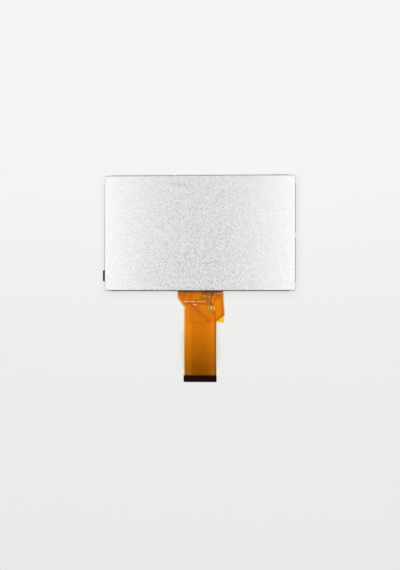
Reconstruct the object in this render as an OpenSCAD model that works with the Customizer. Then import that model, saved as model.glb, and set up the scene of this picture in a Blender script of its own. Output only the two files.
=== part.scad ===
// Seven inch TFT display module, lying screen down: a folded steel rear shield snapped over a white
// moulded frame, an edge-lit backlight stack, the liquid crystal cell and its flex circuit.
// The origin is the middle of the module, on the outer face of the screen's protective film.
// +X runs along the long side, +Y points away from the flex circuit and +Z towards the rear shield.

/* [Active area] */
// Width of the active area
active_w = 154.08; // [100:0.02:220]
// Height of the active area
active_h = 85.92; // [76:0.02:140]
// Border at each side, from the active area to the shield's outer face
side_border = 5.46; // [5.3:0.02:8]
// Border at the top
top_border = 4.64; // [4.5:0.02:7]
// Border at the bottom, past the drivers
bottom_border = 9.44; // [9.2:0.02:14]

/* [Rear shield] */
// Thickness of the steel sheet
shield_t = 0.4; // [0.3:0.05:0.6]
// Inner radius of the folds
bend_in = 0.4; // [0.2:0.05:0.6]
// Depth of the walls, from the rear face to their free edge
wall_depth = 4.5; // [3.9:0.1:4.8]
// Distance from a corner to the end of a long wall
corner_gap_long = 5.5; // [3:0.5:12]
// Distance from a corner to the end of a short wall
corner_gap_short = 7.5; // [3:0.5:12]
// Width of the relief cut at each end of a fold
relief_w = 0.6; // [0.3:0.1:1.2]
// Depth of the relief cut, in from the fold
relief_d = 0.8; // [0.3:0.1:1.5]
// Height of the snap windows in the walls
window_h = 1.3; // [1:0.1:1.8]
// Distance from the rear face to the middle of the windows
window_drop = 2.6; // [2.2:0.1:3]
// Length of a common snap window
window_l = 10; // [6:0.5:14]
// Length of the long snap window on the left wall
long_window_l = 14; // [8:0.5:18]
// Distance from a corner to the middle of the end windows of the long walls, and of the long window
end_window_inset = 16.5; // [15:0.5:20]
// Distance of the long walls' inner windows from the middle
inner_window_x = 38; // [30:0.5:44]
// Distance from a corner to the middle of the short walls' common windows
side_window_inset = 23; // [15:0.5:26]
// Width of the slit that parts the top wall
slit_w = 0.6; // [0.3:0.1:2]
// Distance of that slit to the left of the middle
slit_x = 21.4; // [15:0.2:26]

/* [Moulded frame] */
// Wall beside the glass
rim_wall = 1.15; // [0.9:0.05:1.5]
// Wall beside the light guide
side_wall = 1.7; // [1.4:0.1:2.2]
// Wall at the top, past the end of the light guide
top_wall = 3.5; // [2:0.1:3.8]
// Wall behind the light strip
strip_wall = 1.3; // [1:0.1:1.6]
// Thickness of the flange between the cell and the light guide
flange_t = 0.6; // [0.4:0.05:1]
// Radius of the outer corners
corner_r = 1; // [0.5:0.1:2]
// Chamfer that clears the inside of the shield's folds
frame_chamfer = 0.5; // [0.4:0.05:0.8]
// Height of a snap hook above the wall
hook_out = 0.34; // [0.2:0.02:0.38]
// Clearance of a hook in its window
hook_play = 0.15; // [0.05:0.05:0.25]
// Radius of the reliefs in the cell pocket's corners
pocket_relief_r = 0.5; // [0.3:0.05:0.8]
// Length of the locating key at the right
key_l = 4.2; // [2:0.1:8]
// Distance of the key's middle below the module's middle
key_drop = 1.7; // [0:0.1:10]
// Width of the pockets for the sheets' ears
ear_pocket_w = 6.6; // [6.2:0.1:9]
// Depth of those pockets
ear_pocket_d = 0.9; // [0.6:0.05:1.1]
// Distance of the ears from the middle
ear_y = 22; // [12:0.5:30]

/* [Cell] */
// Thickness of each glass
glass_t = 0.5; // [0.3:0.05:0.7]
// Height of the seal between the two glasses
seal_t = 0.04; // [0.02:0.01:0.1]
// Width of that seal
seal_w = 0.8; // [0.5:0.1:1.5]
// Distance of the seal from the edge of the glass
seal_setback = 0.3; // [0.1:0.05:0.6]
// Thickness of each polarizer
polarizer_t = 0.18; // [0.1:0.01:0.25]
// Distance of a polarizer's edge from the edge of its glass
polarizer_setback = 0.6; // [0.3:0.1:0.8]
// Part of the array glass that the colour filter glass leaves bare for the drivers
driver_ledge = 4.8; // [4:0.1:5.4]
// Clearance all round the glass
glass_clearance = 0.3; // [0.1:0.05:0.5]
// Distance from the active area to the edge of the frame's aperture
aperture_margin = 0.8; // [0.4:0.1:1]
// Thickness of the double-sided panel tape
panel_tape_t = 0.1; // [0.05:0.01:0.15]
// Thickness of the protective film
film_t = 0.05; // [0.03:0.01:0.1]
// Width of the film's pull tab
tab_w = 9.4; // [5:0.2:15]
// Length of the tab that stands out past the shield
tab_out = 2.3; // [0.5:0.1:6]
// Height of the tab's middle above the bottom edge
tab_rise = 13.3; // [8:0.1:30]
// Thickness of the tab
tab_t = 0.05; // [0.03:0.01:0.1]
// Gap between the tab and the polarizer's edge
tab_gap = 0.2; // [0.1:0.05:0.5]

/* [Drivers] */
// Length of a source driver chip
source_chip_l = 21.6; // [16:0.1:26]
// Length of the gate driver chip
gate_chip_l = 16.8; // [12:0.1:20]
// Width of the driver chips
chip_w = 1.26; // [0.8:0.02:1.5]
// Thickness of the driver chips
chip_t = 0.3; // [0.2:0.01:0.35]
// Distance from the glass's side to the middle of each source driver
source_chip_inset = 44.5; // [34:0.5:52]
// Distance from the glass's left side to the middle of the gate driver
gate_chip_inset = 16.5; // [12:0.5:20]
// Thickness of the tape over the drivers
cover_tape_t = 0.08; // [0.04:0.01:0.1]

/* [Backlight] */
// Thickness of the light guide
guide_t = 2.4; // [2.1:0.1:3]
// Thickness of the lower diffuser
lower_diffuser_t = 0.13; // [0.08:0.01:0.2]
// Thickness of each prism sheet
prism_t = 0.155; // [0.1:0.005:0.2]
// Thickness of the upper diffuser
upper_diffuser_t = 0.1; // [0.06:0.01:0.15]
// Thickness of the reflector
reflector_t = 0.15; // [0.1:0.01:0.25]
// Play between the reflector and the shield
rear_play = 0.06; // [0.02:0.01:0.15]
// Clearance round the light guide
guide_clearance = 0.3; // [0.15:0.05:0.5]
// How much smaller each sheet is than the light guide, at each edge
sheet_setback = 0.1; // [0:0.05:0.3]
// Number of light emitting diodes, spread evenly over the light guide's width
led_count = 27; // [18:1:30]
// Length of a diode
led_l = 3; // [2:0.1:3.5]
// Height of a diode
led_h = 1.4; // [0.8:0.1:1.8]
// Depth of a diode, from the strip to its lit face
led_d = 0.8; // [0.5:0.05:1]
// Gap between a diode's face and the light guide
led_gap = 0.2; // [0.1:0.05:0.4]
// Width of the entry flutes cut into the light guide, square set on edge
flute_w = 0.24; // [0.1:0.02:0.3]
// Thickness of the light strip and its lead
strip_t = 0.12; // [0.08:0.01:0.16]
// Clearance above and below the light strip
strip_play = 0.12; // [0.08:0.02:0.2]

/* [Light strip lead] */
// Left edge of the lead, from the module's middle
lead_x0 = 0.8; // [-4:0.1:3]
// Right edge of the lead
lead_x1 = 13.6; // [12:0.1:16]
// Distance from the module's edge to the end of the lead
lead_reach = 17.2; // [15:0.1:20]
// Left edge of the lead's narrow end
lead_foot_x = 6.1; // [5:0.1:8]
// Run of the lead's drop onto the flex circuit, as a multiple of its height
lead_run = 1.2; // [1.1:0.1:1.6]
// Distance between solder joints
joint_pitch = 2.5; // [2:0.1:2.8]
// Length of a solder joint
joint_l = 3.9; // [2:0.1:4.4]
// Width of a solder joint
joint_w = 1; // [0.6:0.1:1.6]
// Height of a solder joint
joint_h = 0.28; // [0.15:0.01:0.4]

/* [Flex circuit] */
// Thickness of the film
flex_t = 0.12; // [0.08:0.01:0.16]
// Reach of the flex circuit past the module's edge
flex_reach = 78.8; // [72:0.1:110]
// Left edge of the head, from the module's middle
head_x0 = -19.6; // [-26:0.1:-16]
// Right edge of the head at the module's edge
head_x1 = 19.9; // [17:0.1:26]
// How much further right the head reaches at the top of its right slant
head_flare = 1.6; // [0:0.1:2.5]
// Drop of the head's left edge, from the module's edge to its slant
head_drop_l = 6.6; // [4:0.1:10]
// Drop to the foot of that slant
slant_drop_l = 14.8; // [12:0.1:18]
// Drop of the head's right edge to its slant
head_drop_r = 20.4; // [16:0.1:23]
// Drop to the foot of that slant
slant_drop_r = 26; // [24:0.1:28]
// Length bonded under the driver ledge
bond_l = 1.3; // [1:0.1:1.6]
// Number of contacts
contact_ways = 54; // [50:1:60]
// Distance between contacts
contact_pitch = 0.5; // [0.5:0.1:0.6]
// How much narrower the tail is on the left where it leaves the head
tail_taper = 0.6; // [0:0.1:0.8]
// Distance from the outer contacts' middle to the tail's edge
tail_margin = 1.05; // [0.4:0.05:1.5]
// Width of a contact finger
finger_w = 0.35; // [0.2:0.01:0.38]
// Length of a contact finger
finger_l = 4.6; // [2.5:0.1:5.5]
// Distance of the fingers from the end of the tail
finger_setback = 0.2; // [0.1:0.05:0.5]
// Thickness of a contact finger
finger_t = 0.03; // [0.02:0.01:0.05]
// Length of the stiffener
stiffener_l = 5.8; // [4:0.1:10]
// Thickness of the stiffener
stiffener_t = 0.2; // [0.1:0.01:0.3]
// Height that the copper lines raise the cover film
line_t = 0.03; // [0.02:0.005:0.05]
// Drop to the place where the tail starts to rise
rise_drop = 28; // [27:0.5:34]
// Height of the rise
rise_h = 3; // [1:0.1:4.8]
// Run of the rise, as a multiple of its height
rise_run = 7; // [4:0.5:15]
// Share of the rise and of the fall that is hollow; the rest is the arch over the crest
hollow_share = 0.2; // [0.1:0.05:0.5]
// Level length before the stiffener, after the fall back to the table
tail_flat = 2.28; // [1:0.02:6]

/* [Flex components] */
// Thickness of the component tape
tape_t = 0.06; // [0.04:0.01:0.08]
// Left edge of the component tape
tape_x0 = -11.5; // [-13:0.1:-8]
// Right edge of the component tape
tape_x1 = 20.6; // [18:0.1:26]
// Drop to the upper edge of the component tape
tape_top_drop = 1.8; // [1.5:0.1:2]
// Drop to the lower edge of the component tape
tape_drop = 26.9; // [24:0.1:27.5]
// Distance between neighbouring chip components
chip_pitch = 2.9; // [2.2:0.1:3]
// Number of chip capacitors
cap_count = 7; // [2:1:7]
// Left capacitor's middle, from the module's middle
cap_x = -1.5; // [-4:0.1:0.5]
// Drop to the row of capacitors
cap_drop = 5.4; // [5.2:0.1:6]
// Length of a chip capacitor
cap_l = 1.6; // [1:0.1:1.8]
// Width of a chip capacitor
cap_w = 0.8; // [0.5:0.05:1]
// Height of a chip capacitor
cap_h = 0.45; // [0.3:0.01:0.48]
// Number of chip resistors
res_count = 6; // [2:1:6]
// Left resistor's middle, from the module's middle
res_x = 0.6; // [-4:0.1:2]
// Drop to the row of resistors
res_drop = 8.4; // [7.5:0.1:9]
// Length of a chip resistor
res_l = 1; // [0.8:0.1:1.2]
// Width of a chip resistor
res_w = 0.5; // [0.3:0.05:0.6]
// Height of a chip resistor
res_h = 0.3; // [0.2:0.01:0.35]

/* [Hidden] */

$fn = 96;
cut = 1;                    // how far a cutting shape runs past what it cuts
half_w = active_w / 2 + side_border;
half_h = (active_h + top_border + bottom_border) / 2;
edge_y = -half_h;           // the module's edge at the flex circuit
active_y = edge_y + bottom_border + active_h / 2;

// Layers from the film outwards, each resting on the one before
front_polarizer_z = film_t;
filter_glass_z = front_polarizer_z + polarizer_t;
seal_z = filter_glass_z + glass_t;
array_glass_z = seal_z + seal_t;
rear_polarizer_z = array_glass_z + glass_t;
panel_tape_z = rear_polarizer_z + polarizer_t;
flange_z = panel_tape_z + panel_tape_t;
upper_diffuser_z = flange_z + flange_t;
upper_prism_z = upper_diffuser_z + upper_diffuser_t;
lower_prism_z = upper_prism_z + prism_t;
lower_diffuser_z = lower_prism_z + prism_t;
guide_z = lower_diffuser_z + lower_diffuser_t;
reflector_z = guide_z + guide_t;
frame_top = reflector_z + reflector_t + rear_play;
module_t = frame_top + shield_t;

// Frame and shield
frame_half_w = half_w - shield_t;
frame_half_h = half_h - shield_t;
bend_out = bend_in + shield_t;
fold_root = 0.4;
wall_foot = module_t - wall_depth;
short_wall = 2 * (half_h - corner_gap_short);
long_wall = 2 * (half_w - corner_gap_long);
window_z = module_t - window_drop;
hook_root = 0.2;                            // how far hooks and key are rooted in the frame
hook_catch = 0.3;                           // height of a hook's level catch
key_play = 0.15;
key_inset = 0.1;                            // the key stays this far inside the shield's faces
key_y = -key_drop;
// Snap windows: distance of the middle along the wall, and length
long_wall_windows = [for (s = [-1, 1]) each [[s * (half_w - end_window_inset), window_l],
                                             [s * inner_window_x, window_l]]];
left_windows = [[half_h - end_window_inset, long_window_l], [-half_h + side_window_inset, window_l]];
right_windows = [for (s = [-1, 1]) [s * (half_h - side_window_inset), window_l]];

// Cell
pocket_half_w = frame_half_w - rim_wall;
pocket_half_h = frame_half_h - rim_wall;
glass_half_w = pocket_half_w - glass_clearance;
glass_half_h = pocket_half_h - glass_clearance;
filter_y0 = -glass_half_h + driver_ledge;
cell_y = (filter_y0 + glass_half_h) / 2;    // middle of the colour filter glass
polarizer_half_w = glass_half_w - polarizer_setback;
polarizer_half_h = (glass_half_h - filter_y0) / 2 - polarizer_setback;
aperture_half_w = active_w / 2 + aperture_margin;
aperture_half_h = active_h / 2 + aperture_margin;
aperture_r = 0.8;
cover_tape_gap = 0.1;                       // cover tape's distance from the polarizer
tape_setback = 0.25;                        // panel tape's distance from the polarizer's and aperture's edges
tab_r = 0.6;
chip_y = -glass_half_h + bond_l + (driver_ledge - bond_l) / 2;

// Backlight cavity
cavity_half_w = frame_half_w - side_wall;
cavity_y0 = -frame_half_h + strip_wall;
cavity_y1 = frame_half_h - top_wall;
guide_half_w = cavity_half_w - guide_clearance;
guide_y0 = cavity_y0 + strip_t + led_d + led_gap;
guide_y1 = cavity_y1 - guide_clearance;
ear_play = 0.3;
guide_ear_w = ear_pocket_w - 2 * ear_play;
strip_z0 = upper_diffuser_z + strip_play;
strip_z1 = frame_top - strip_play;
strip_half_l = guide_half_w - sheet_setback;
led_z = guide_z + guide_t / 2;
led_pitch = 2 * guide_half_w / led_count;
led_rim = 0.3;                              // housing round the lit face
led_dish = 0.15;                            // depth of the lit face in the housing
led_foot = 0.2;                             // size of the solder feet
flute_pitch = led_l / 4;
ear_l = 5.4;                                // ears of the diffusers
prism_ear_l = 3.6;                          // narrower ears, set off to tell the prism sheets apart
prism_ear_shift = 1;

// Flex circuit
tail_half_w = (contact_ways - 1) * contact_pitch / 2 + tail_margin;
flex_z = array_glass_z - flex_t;            // underside of the film in the head
flex_y1 = -glass_half_h + bond_l;           // bonded end
flex_y0 = edge_y - flex_reach;              // contact end
tail_chamfer = 0.5;                         // corners of the tail's end
slot_play = 0.5;                            // side clearance of the frame's flex slot
slot_top = array_glass_z + strip_t + 0.15;
rise_y = edge_y - rise_drop;
crest_y = rise_y - rise_run * rise_h;
crest_z = flex_z + rise_h;
end_z = finger_t;                           // the fingers lie on the table
fall_y = flex_y0 + stiffener_l + tail_flat;

// Lead of the light strip
lead_fold = 0.3;                            // inner radius where the lead leaves the strip
lead_fold_z = strip_z0 + lead_fold + strip_t;
lead_z = lead_fold_z - lead_fold - strip_t; // underside of the lead's level run through the wall
lead_slot_top = lead_fold_z + 0.15;
lead_y = edge_y - 0.3;                      // where the lead starts to drop
lead_rest_y = lead_y - lead_run * (lead_z - array_glass_z);
lead_slit = 0.3;                            // cut that frees the lead from the strip
lead_shoulder_drop = 4.2;                   // drop to the end of the lead's wide part on the left
lead_waist_drop = 9;                        // drop to the narrow part's full width on the left
lead_waist_d = 3.9;                         // depth of the waist on the right
lead_waist = [0.9, 8.9, 9.9, 12.9];         // drops to the waist's start, narrowest part and end
joint_margin = 0.4;
joint_x = (lead_foot_x + lead_x1) / 2;
joint_y = edge_y - lead_reach + joint_margin + joint_l / 2;

// Flex components
tent_margin = 2.2;                          // from a row's middle to the foot of the tape's tent
tent_slope = 0.9;
chip_lip = 0.02;                            // how far a chip's end caps stand proud of its body

// Copper lines of the flex circuit
feed_ways = 4;                              // outer contacts, two to each of the light strip's feeds
line_ways = contact_ways - feed_ways;
line_w = 0.28;
fine_line_w = 0.1;
bundle_x0 = head_x0 + 0.8;                  // first line at the bonded end
bundle_pitch = 0.24;
last_slant_drop = 3;                        // how much lower the last line's slant starts
line_widen = 0.5;
line_end = 0.3;
feed_jog = 1.4;                             // length of the feeds' slanted part

// ---------------------------------------------------------------- helpers

// Points of an arc
function arc(cx, cy, r, from, to, steps = 8) =
    [for (i = [0:steps]) let (a = from + (to - from) * i / steps) [cx + r * cos(a), cy + r * sin(a)]];

// Rectangle between two corners with rounded corners
module rounded(x0, y0, x1, y1, r)
    polygon(concat(arc(x1 - r, y1 - r, r, 0, 90), arc(x0 + r, y1 - r, r, 90, 180),
                   arc(x0 + r, y0 + r, r, 180, 270), arc(x1 - r, y0 + r, r, 270, 360)));

// Rectangle between two corners
module area(x0, y0, x1, y1)
    translate([x0, y0]) square([x1 - x0, y1 - y0]);

// Points of an edge that sways sideways from one point to another
function sway(from, to, steps) =
    [for (i = [0:steps]) let (t = i / steps)
        [from.x + (to.x - from.x) * t * t * (3 - 2 * t), from.y + (to.y - from.y) * t]];

// Box between two corners
module block(x0, y0, z0, x1, y1, z1)
    translate([x0, y0, z0]) cube([x1 - x0, y1 - y0, z1 - z0]);

// Part of a ring about the origin, between two angles less than 90 apart or equal to it
module ring_sector(r_in, r_out, from, to)
    intersection() {
        difference() {
            circle(r_out);
            circle(r_in);
        }
        polygon([[0, 0], 2 * r_out * [cos(from), sin(from)],
                 3 * r_out * [cos((from + to) / 2), sin((from + to) / 2)],
                 2 * r_out * [cos(to), sin(to)]]);
    }

// Layer of an S curve that leads between two level lines, between two heights over its underside;
// it starts at the larger Y and consists of two arcs that share one cut, the first with a share
// of the whole curve
module s_curve(from, to, lo, hi, share = 0.5) {
    l = from.x - to.x;
    h = abs(to.y - from.y);
    up = sign(to.y - from.y);
    both_r = (l * l + h * h) / (2 * h);
    r1 = share * both_r;
    r2 = both_r - r1;
    c1 = [from.x, from.y + up * r1];
    c2 = [to.x, to.y - up * r2];
    n = (c1 - c2) / norm(c1 - c2) * up;     // along the cut, upwards
    m = from + share * (to - from);
    margin = [0, 1];
    for (a = [[c1, from, up, r1], [c2, to, -up, r2]]) {
        near = a[3] - a[2] * (a[2] > 0 ? hi : lo);
        far = a[3] - a[2] * (a[2] > 0 ? lo : hi);
        intersection() {
            translate(a[0]) difference() {
                circle(far);
                circle(near);
            }
            polygon([m + n, m - n, a[1] - margin, a[1] + margin]);
        }
    }
}

// Extrudes a profile drawn in Y and Z along X
module along_x(x0, x1)
    translate([x0, 0, 0]) rotate([90, 0, 90]) linear_extrude(x1 - x0) children();

// Extrudes a profile drawn in X and Z along Y
module along_y(y0, y1)
    translate([0, y1, 0]) rotate([90, 0, 0]) linear_extrude(y1 - y0) children();

// ---------------------------------------------------------------- rear shield

// Section of a fold and its wall, with the wall's outer face on x = 0 and outwards as +x;
// a short root runs on into the flat
module wall_profile() {
    area(-bend_out - fold_root, frame_top, -bend_out, module_t);
    translate([-bend_out, module_t - bend_out]) ring_sector(bend_in, bend_out, 0, 90);
    area(-shield_t, wall_foot, 0, module_t - bend_out);
}

// Flat of the shield: full at the corners, cut back to the folds along the walls
module shield_flat()
    difference() {
        rounded(-frame_half_w, -frame_half_h, frame_half_w, frame_half_h, corner_r);
        for (s = [-1, 1]) {
            translate([s * (half_w - bend_out + cut), 0])
                square([2 * cut, short_wall + 2 * relief_w], center = true);
            translate([0, s * (half_h - bend_out + cut)])
                square([long_wall + 2 * relief_w, 2 * cut], center = true);
            for (t = [-1, 1]) {
                translate([s * (half_w - bend_out), t * (short_wall + relief_w) / 2])
                    square([2 * relief_d, relief_w], center = true);
                translate([s * (long_wall + relief_w) / 2, t * (half_h - bend_out)])
                    square([relief_w, 2 * relief_d], center = true);
            }
        }
    }

module rear_shield()
    color([0.84, 0.85, 0.86])
    difference() {
        union() {
            translate([0, 0, frame_top]) linear_extrude(shield_t) shield_flat();
            for (s = [0, 1]) mirror([s, 0, 0])
                along_y(-short_wall / 2, short_wall / 2) translate([half_w, 0]) wall_profile();
            for (s = [0, 1]) mirror([0, s, 0])
                along_x(-long_wall / 2, long_wall / 2) translate([half_h, 0]) wall_profile();
        }
        for (s = [-1, 1]) for (w = long_wall_windows) window_in_long_wall(s, w[0], w[1]);
        for (w = left_windows) window_in_short_wall(-1, w[0], w[1]);
        for (w = right_windows) window_in_short_wall(1, w[0], w[1]);
        // opening over the flex circuit and the light strip's lead
        block(head_x0 - slot_play, edge_y - cut, wall_foot - cut,
              head_x1 + slot_play, edge_y + shield_t + cut, lead_slot_top + 0.2);
        // gap for the frame's key
        block(half_w - bend_out, key_y - key_l / 2 - key_play, wall_foot - cut,
              half_w + cut, key_y + key_l / 2 + key_play, module_t + cut);
        // slit in the top wall
        block(-slit_x - slit_w / 2, half_h - bend_out, wall_foot - cut,
              -slit_x + slit_w / 2, half_h + cut, module_t + cut);
    }

module window_in_long_wall(side, x, l)
    translate([x, side * half_h, window_z]) cube([l, 2 * (shield_t + 0.05), window_h], center = true);

module window_in_short_wall(side, y, l)
    translate([side * half_w, y, window_z]) cube([2 * (shield_t + 0.05), l, window_h], center = true);

// ---------------------------------------------------------------- moulded frame

// Section of a snap hook: a catch towards the screen and a ramp towards the rear
module hook_profile() {
    z0 = window_z - window_h / 2 + hook_play;
    z1 = window_z + window_h / 2 - hook_play;
    polygon([[-hook_root, z0], [hook_out, z0], [hook_out, z0 + hook_catch], [0, z1], [-hook_root, z1]]);
}

// A hook in the long wall at the top, and in the short wall at the right
module long_wall_hook(x, l)
    along_x(x - l / 2 + hook_play, x + l / 2 - hook_play) translate([frame_half_h, 0]) hook_profile();

module short_wall_hook(y, l)
    along_y(y - l / 2 + hook_play, y + l / 2 - hook_play) translate([frame_half_w, 0]) hook_profile();

module hooks() {
    for (s = [0, 1]) mirror([0, s, 0]) for (w = long_wall_windows) long_wall_hook(w[0], w[1]);
    for (w = right_windows) short_wall_hook(w[0], w[1]);
    mirror([1, 0, 0]) for (w = left_windows) short_wall_hook(w[0], w[1]);
}

// Prisms that take off the frame's rear outer edges
module edge_chamfers() {
    c = frame_chamfer;
    for (s = [0, 1]) mirror([s, 0, 0])
        along_y(-half_h, half_h) translate([frame_half_w, frame_top])
            polygon([[-c, 0], [cut, -c - cut], [cut, cut], [-c, cut]]);
    for (s = [0, 1]) mirror([0, s, 0])
        along_x(-half_w, half_w) translate([frame_half_h, frame_top])
            polygon([[-c, 0], [cut, -c - cut], [cut, cut], [-c, cut]]);
}

module mold_frame()
    color([0.93, 0.93, 0.91])
    difference() {
        union() {
            difference() {
                translate([0, 0, filter_glass_z])
                    linear_extrude(frame_top - filter_glass_z)
                        rounded(-frame_half_w, -frame_half_h, frame_half_w, frame_half_h, corner_r);
                edge_chamfers();
            }
            hooks();
            block(frame_half_w - hook_root, key_y - key_l / 2, wall_foot,
                  half_w - key_inset, key_y + key_l / 2, frame_top);
            block(half_w - bend_out + key_inset, key_y - key_l / 2, frame_top - frame_chamfer,
                  half_w - key_inset, key_y + key_l / 2, module_t - key_inset);
        }
        // pocket for the cell, with relieved corners
        block(-pocket_half_w, -pocket_half_h, 0, pocket_half_w, pocket_half_h, flange_z);
        for (sx = [-1, 1]) for (sy = [-1, 1])
            translate([sx * pocket_half_w, sy * pocket_half_h, 0])
                cylinder(r = pocket_relief_r, h = flange_z, $fn = 12);
        // aperture in the flange
        translate([0, active_y, 0])
            linear_extrude(frame_top) rounded(-aperture_half_w, -aperture_half_h,
                                              aperture_half_w, aperture_half_h, aperture_r);
        // cavity for the sheets, the light guide and the light strip
        block(-cavity_half_w, cavity_y0, upper_diffuser_z, cavity_half_w, cavity_y1, frame_top + cut);
        for (s = [-1, 1])
            block(-cavity_half_w - ear_pocket_d, s * ear_y - ear_pocket_w / 2, upper_diffuser_z,
                  cavity_half_w + ear_pocket_d, s * ear_y + ear_pocket_w / 2, frame_top + cut);
        // slot for the flex circuit
        block(head_x0 - slot_play, -half_h, 0, head_x1 + slot_play, -pocket_half_h + cut, slot_top);
        // slot for the light strip's lead
        block(lead_x0 - 0.4, -half_h, upper_diffuser_z, lead_x1 + 0.4, cavity_y0 + cut, lead_slot_top);
    }

// ---------------------------------------------------------------- backlight

// Outline of a sheet that hangs by an ear at each side of two places
module eared_outline(half_l, y0, y1, ear_out, ear_w, ear_shift = 0)
    union() {
        area(-half_l, y0, half_l, y1);
        for (s = [-1, 1])
            area(-half_l - ear_out, s * ear_y + ear_shift - ear_w / 2,
                 half_l + ear_out, s * ear_y + ear_shift + ear_w / 2);
    }

// A film of the stack over the light guide
module sheet(z, t, ear_w, ear_shift)
    translate([0, 0, z]) linear_extrude(t)
        eared_outline(guide_half_w - sheet_setback, guide_y0 + sheet_setback, guide_y1 - sheet_setback,
                      ear_pocket_d, ear_w, ear_shift);

module upper_diffuser() color([0.95, 0.96, 0.97]) sheet(upper_diffuser_z, upper_diffuser_t, ear_l, 0);

module upper_prism_sheet() color([0.88, 0.91, 0.94])
    sheet(upper_prism_z, prism_t, prism_ear_l, prism_ear_shift);

module lower_prism_sheet() color([0.86, 0.90, 0.94])
    sheet(lower_prism_z, prism_t, prism_ear_l, -prism_ear_shift);

module lower_diffuser() color([0.97, 0.97, 0.97]) sheet(lower_diffuser_z, lower_diffuser_t, ear_l, 0);

module light_guide()
    color([0.90, 0.94, 0.95])
    translate([0, 0, guide_z])
        linear_extrude(guide_t)
            difference() {
                eared_outline(guide_half_w, guide_y0, guide_y1, ear_pocket_d, guide_ear_w);
                // fluted entry in front of each diode
                for (i = [1:led_count]) for (k = [-1, 0, 1])
                    translate([led_x(i) + k * flute_pitch, guide_y0]) rotate(45)
                        square(flute_w, center = true);
            }

module reflector_sheet()
    color([0.97, 0.97, 0.96])
    translate([0, 0, reflector_z])
        linear_extrude(reflector_t)
            eared_outline(guide_half_w - sheet_setback, cavity_y0 + strip_t + sheet_setback,
                          guide_y1 - sheet_setback, ear_pocket_d, guide_ear_w);

function led_x(i) = (i - (led_count + 1) / 2) * led_pitch;

// One diode: a housing with a dished lit face and a solder foot at each end
module led(i) {
    back_y = cavity_y0 + strip_t;
    face_y = back_y + led_d;
    inner_l = led_l - 2 * led_rim;
    inner_h = led_h / 2 - led_rim;
    color([0.96, 0.93, 0.72])
    translate([led_x(i), 0, led_z]) {
        difference() {
            along_x(-led_l / 2, led_l / 2) area(back_y, -led_h / 2, face_y, led_h / 2);
            along_x(-inner_l / 2, inner_l / 2)
                polygon([[face_y - led_dish, -inner_h], [face_y, -inner_h - led_dish],
                         [face_y + cut, -inner_h], [face_y + cut, inner_h],
                         [face_y, inner_h + led_dish], [face_y - led_dish, inner_h]]);
        }
        for (s = [-1, 1])
            translate([s * led_l / 2, back_y + led_foot / 2, 0])
                cube([2 * led_foot, led_foot, led_h - 2 * led_foot], center = true);
    }
}

// Section of the lead: down from the strip, out through the wall, down to the flex circuit and along it
module lead_profile() {
    area(cavity_y0, lead_fold_z, cavity_y0 + strip_t, strip_z1);
    translate([cavity_y0 - lead_fold, lead_fold_z])
        ring_sector(lead_fold, lead_fold + strip_t, -90, 0);
    area(lead_y, lead_z, cavity_y0 - lead_fold, lead_z + strip_t);
    s_curve([lead_y, lead_z], [lead_rest_y, array_glass_z], 0, strip_t);
    area(edge_y - lead_reach, array_glass_z, lead_rest_y, array_glass_z + strip_t);
}

// Plan of the lead: its left side slants in to the foot, and its right side has a curved waist
module lead_plan()
    polygon(concat(
        [[lead_x1, strip_z1]],
        sway([lead_x1, edge_y - lead_waist[0]], [lead_x1 - lead_waist_d, edge_y - lead_waist[1]], 7),
        sway([lead_x1 - lead_waist_d, edge_y - lead_waist[2]], [lead_x1, edge_y - lead_waist[3]], 5),
        [[lead_x1, edge_y - lead_reach], [lead_foot_x, edge_y - lead_reach],
         [lead_foot_x, edge_y - lead_waist_drop], [lead_x0, edge_y - lead_shoulder_drop],
         [lead_x0, strip_z1]]));

module led_strip()
    color([0.66, 0.42, 0.16])
    union() {
        block(-strip_half_l, cavity_y0, lead_fold_z, strip_half_l, cavity_y0 + strip_t, strip_z1);
        block(-strip_half_l, cavity_y0, strip_z0, lead_x0 - lead_slit, cavity_y0 + strip_t, strip_z1);
        block(lead_x1 + lead_slit, cavity_y0, strip_z0, strip_half_l, cavity_y0 + strip_t, strip_z1);
        intersection() {
            along_x(lead_x0, lead_x1) lead_profile();
            linear_extrude(module_t) lead_plan();
        }
    }

// Solder beads that join the lead to the flex circuit
module solder_joints()
    color([0.86, 0.80, 0.62])
    for (k = [-1, 0, 1]) {
        r = (joint_w * joint_w / 4 + joint_h * joint_h) / (2 * joint_h);
        translate([joint_x + k * joint_pitch, joint_y, array_glass_z + strip_t])
            intersection() {
                translate([0, 0, joint_h - r]) rotate([90, 0, 0])
                    cylinder(r = r, h = joint_l, center = true);
                translate([-joint_w, -joint_l, 0]) cube([2 * joint_w, 2 * joint_l, 2 * joint_h]);
            }
    }

// ---------------------------------------------------------------- liquid crystal cell

// Rectangle about the colour filter glass's middle
module cell_area(half_l, half_b)
    translate([0, cell_y]) square([2 * half_l, 2 * half_b], center = true);

module panel_tape()
    color([0.12, 0.12, 0.12])
    translate([0, 0, panel_tape_z])
        linear_extrude(panel_tape_t)
            difference() {
                cell_area(polarizer_half_w - tape_setback, polarizer_half_h - tape_setback);
                translate([0, active_y])
                    square(2 * [aperture_half_w + tape_setback, aperture_half_h + tape_setback],
                           center = true);
            }

module rear_polarizer()
    color([0.30, 0.30, 0.34])
    translate([0, 0, rear_polarizer_z])
        linear_extrude(polarizer_t) cell_area(polarizer_half_w, polarizer_half_h);

module array_glass()
    color([0.72, 0.80, 0.78])
    block(-glass_half_w, -glass_half_h, array_glass_z,
          glass_half_w, glass_half_h, array_glass_z + glass_t);

module seal_outline(inset, r)
    rounded(-glass_half_w + inset, filter_y0 + inset, glass_half_w - inset, glass_half_h - inset, r);

module cell_seal()
    color([0.55, 0.52, 0.45])
    translate([0, 0, seal_z])
        linear_extrude(seal_t)
            difference() {
                seal_outline(seal_setback, 1.5 * seal_w);
                seal_outline(seal_setback + seal_w, 0.5 * seal_w);
            }

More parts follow.
